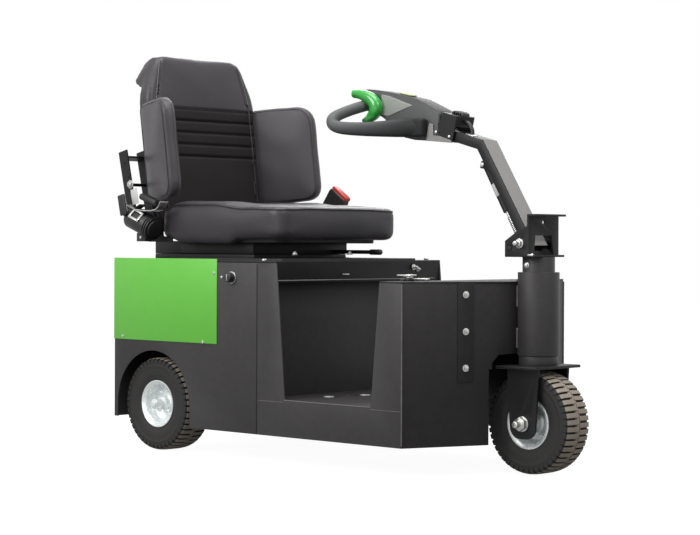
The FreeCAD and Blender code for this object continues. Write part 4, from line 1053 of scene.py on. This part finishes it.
def cushion_change(p, normal):
    high = ease(p.z, 650, 735)
    back = ease(-p.x, 220, 380) * (1 - ease(-p.x, 520, 590))
    corner = ease(p.x, -210, -90) * ease(abs(p.y), 130, 240)
    rise = high * (14 * back - 2 * corner - 5 * ease(-p.x, 530, 590)) - 0.12 * max(p.z - 734, 0)
    middle_part = ease(-p.x, 250, 300) * (1 - ease(-p.x, 500, 560))
    hang = -15 * ease(700 - p.z, 0, 60) * middle_part * ease(abs(p.y), 205, 240)
    dish = -14 * high * hill(p.x + 370, 150) * hill(p.y, 150)
    dent = 0
    if normal.z > 0.3:
        panel = max(abs(p.x + 330) - 215, abs(p.y) - 168)
        dent = 4.5 * hill(panel, 4.5)
        if panel < 0:
            dent += sum(3.5 * hill(p.x - x, 4.5) for x in (-470, -400, -330, -260, -190))
    fold = noise.noise(p / 75) * 1.6
    return Vector((0, 0, rise + hang + dish)) + normal * (fold - dent)


plate(cushion_outline(0, 10), 101, at((0, 0, 637)), 0)
soften(creases(bm.edges, 1.2), 32, 6)
pad(cushion_held, 15, cushion_change)
cushion = finish("seat_cushion_vinyl", seat_vinyl, "seat_cushion", ["seat_cushion"], sharp=70)

welt = [Vector((x, y, 734)) for x, y in cushion_outline(6, 12)]
course = []
for start, end in zip(welt, welt[1:] + welt[:1]):
    pieces = max(1, int((end - start).length / 9))
    for probe in (start.lerp(end, step / pieces) for step in range(pieces)):
        course.append(probe + Vector((0, 0, cushion_change(probe, X).z)))
sweep(on_skin(skin_of(cushion), course, 1.0), (2.6, 2.6), 10, closed=True)
finish("cushion_welt", piping_vinyl, "seat_cushion")

# %% [markdown]
# The backrest's front is one long panel with five sewn channels under the headrest, and the headrest's
# hood is folded over the plastic shell behind. The front below the top channel is coloured darker, as it gets
# less light: painted shade. The headrest's edge shows a line of light thread.

# %% Backrest
lean = tilted((-634, 0, 752), -8.3)
channels = (302, 264, 226, 188, 150)


def half_width(z):
    return 230 - 52 * clamp((z - 338) / 130)


def seam_y(z):
    return 195 - 33 * clamp((z - 320) / 140)


def back_held(p):
    if (p.x < -50 and p.z < 372) or p.z < -58:
        return 1.0
    if p.x > -20 and abs(abs(p.y) - seam_y(p.z)) < 4.5:
        return 0.9
    if p.x > -20 and abs(p.y) < 205 and any(abs(p.z - z) < 3.2 for z in channels):
        return 0.8
    return 0.0


def back_change(p, normal):
    dent = 0
    if normal.x > 0.4:
        inside = 1 - ease(abs(p.y), half_width(p.z) - 14, half_width(p.z) - 2)
        dent += inside * sum(5 * hill(p.z - z, 4) for z in channels)
        dent += 3 * hill(abs(p.y) - seam_y(p.z), 4)
    return normal * (noise.noise(p / 80) * 1.4 - dent)


front = [(-222, -72), (222, -72), (230, 338), (178, 470), (-178, 470), (-230, 338)]
plate(rounded(front, [24, 24, 30, 40, 40, 30]), 54, facing(-54), 0)
soften(creases(bm.edges, 1.2), 12, 3)
hood = rounded([(-16, 469), (-58, 467), (-99, 399), (-66, 376), (-20, 378)], [14, 26, 10, 3, 3], 5)
for vert in plate(hood, 390, upright(-195), 0):
    vert.co.y *= (half_width(vert.co.z) - 3) / 195
pad(back_held, 10, back_change)
# The lower front faces take the darker panel vinyl: painted shade.
for face in bm.faces:
    spot = face.calc_center_median()
    face.material_index = int(face.normal.x > 0.2 and spot.x > -20 and spot.z < channels[0])
move(bm.verts, lean)
backrest = finish("seat_backrest_vinyl", [seat_vinyl, panel_vinyl_shaded], "seat_backrest",
                  ["seat_backrest"], sharp=70)

skin = skin_of(backrest)
for side in (-1, 1):
    edge = [lean @ Vector((8, side * seam_y(z), z)) for z in range(-40, 452, 6)]
    sweep(on_skin(skin, edge, 0.6), (1.6, 1.6), 8, up=X)
finish("backrest_seams", piping_vinyl, "seat_backrest")

STITCHES, stitch_pitch, stitch_length = 20, 6.6, 4.4
for side in (-1, 1):
    for stitch in range(STITCHES):
        ends = [330 + stitch * stitch_pitch + shift for shift in (0, stitch_length)]
        start, end = on_skin(skin, [lean @ Vector((6, side * (seam_y(z) + 6), z)) for z in ends], 0.4)
        bar(1.0, (end - start).length, start, end - start, 6, 0)
finish("headrest_stitches", thread, "seat_backrest")

rear = [(-190, -84), (190, -84), (198, 300), (184, 372), (-184, 372), (-198, 300)]
plate(rounded(rear, [40, 40, 60, 12, 12, 60]), 9, lean @ facing(-68), 3)
for z in (20, 110, 200, 290):
    block((-71.5, -120, z - 4), (-66, 120, z + 4), 2, place=lean)
finish("backrest_shell", black_plastic, "seat_backrest")

# %% [markdown]
# The wings are two thick pads that hold the rider in bends. Each is sewn from two faces and an edge band,
# with generous corners at the front. One is simulated, and the other is its mirror image.

# %% Backrest wings
wing_turn = Matrix(((0.916, 0, 0.401), (-0.401, 0, 0.916), (0, 1, 0))).to_4x4()
wing_place = lean @ at((0, -214.3, 0)) @ wing_turn


def wing_held(p):
    if p.x < -16:
        return 1.0
    return 0.9 if min(abs(p.z + 2), abs(p.z + 38)) < 3.5 and (p.x > 192 or p.y < 8 or p.y > 288) else 0.0


def wing_change(p, normal):
    return normal * (noise.noise(p / 85) * 1.8 - 3 * hill(p.x + 4, 12) * (1 if p.z > -20 else 0))


wing = rounded([(-30, -6), (205, -11), (208, 300), (-24, 314)], [18, 54, 66, 30], 10)
plate(wing, 42, at((0, 0, -41)), 0)
soften(creases(bm.edges, 1.2), 13, 3)
pad(wing_held, 10, wing_change, wing_place)
flip_side()
wings = finish("backrest_wings_vinyl", seat_vinyl, "backrest_wings", ["backrest_wings"], sharp=70)

skin = skin_of(wings)
for level in (5, -46):
    seam = rounded([(-10, 2), (196, -2), (199, 292), (-10, 305)], [10, 46, 58, 22], 10)
    edge = [wing_place @ Vector((x, y, level)) for x, y in seam]
    sweep(on_skin(skin, edge, 0.5), (1.3, 1.3), 8, up=wing_place.to_3x3() @ Z, closed=True)
flip_side()
finish("wing_seams", piping_vinyl, "backrest_wings")

# %% [markdown]
# Under the cushion a black pan carries it, and the pan sits on a frame that slides in two rails.

# %% Seat pan
pan = rounded([(-566, -226), (-118, -226), (-118, 226), (-566, 226)], [50, 60, 60, 50])
plate(pan, 16, at((0, 0, 626)), 3)
for y in (-201, 201):
    block((-560, y - 3, 594), (-240, y + 3, 628))
    block((-600, y - 10, 577), (-236, y + 10, 583), 1)
finish("seat_pan", black_coat, "seat_frame")
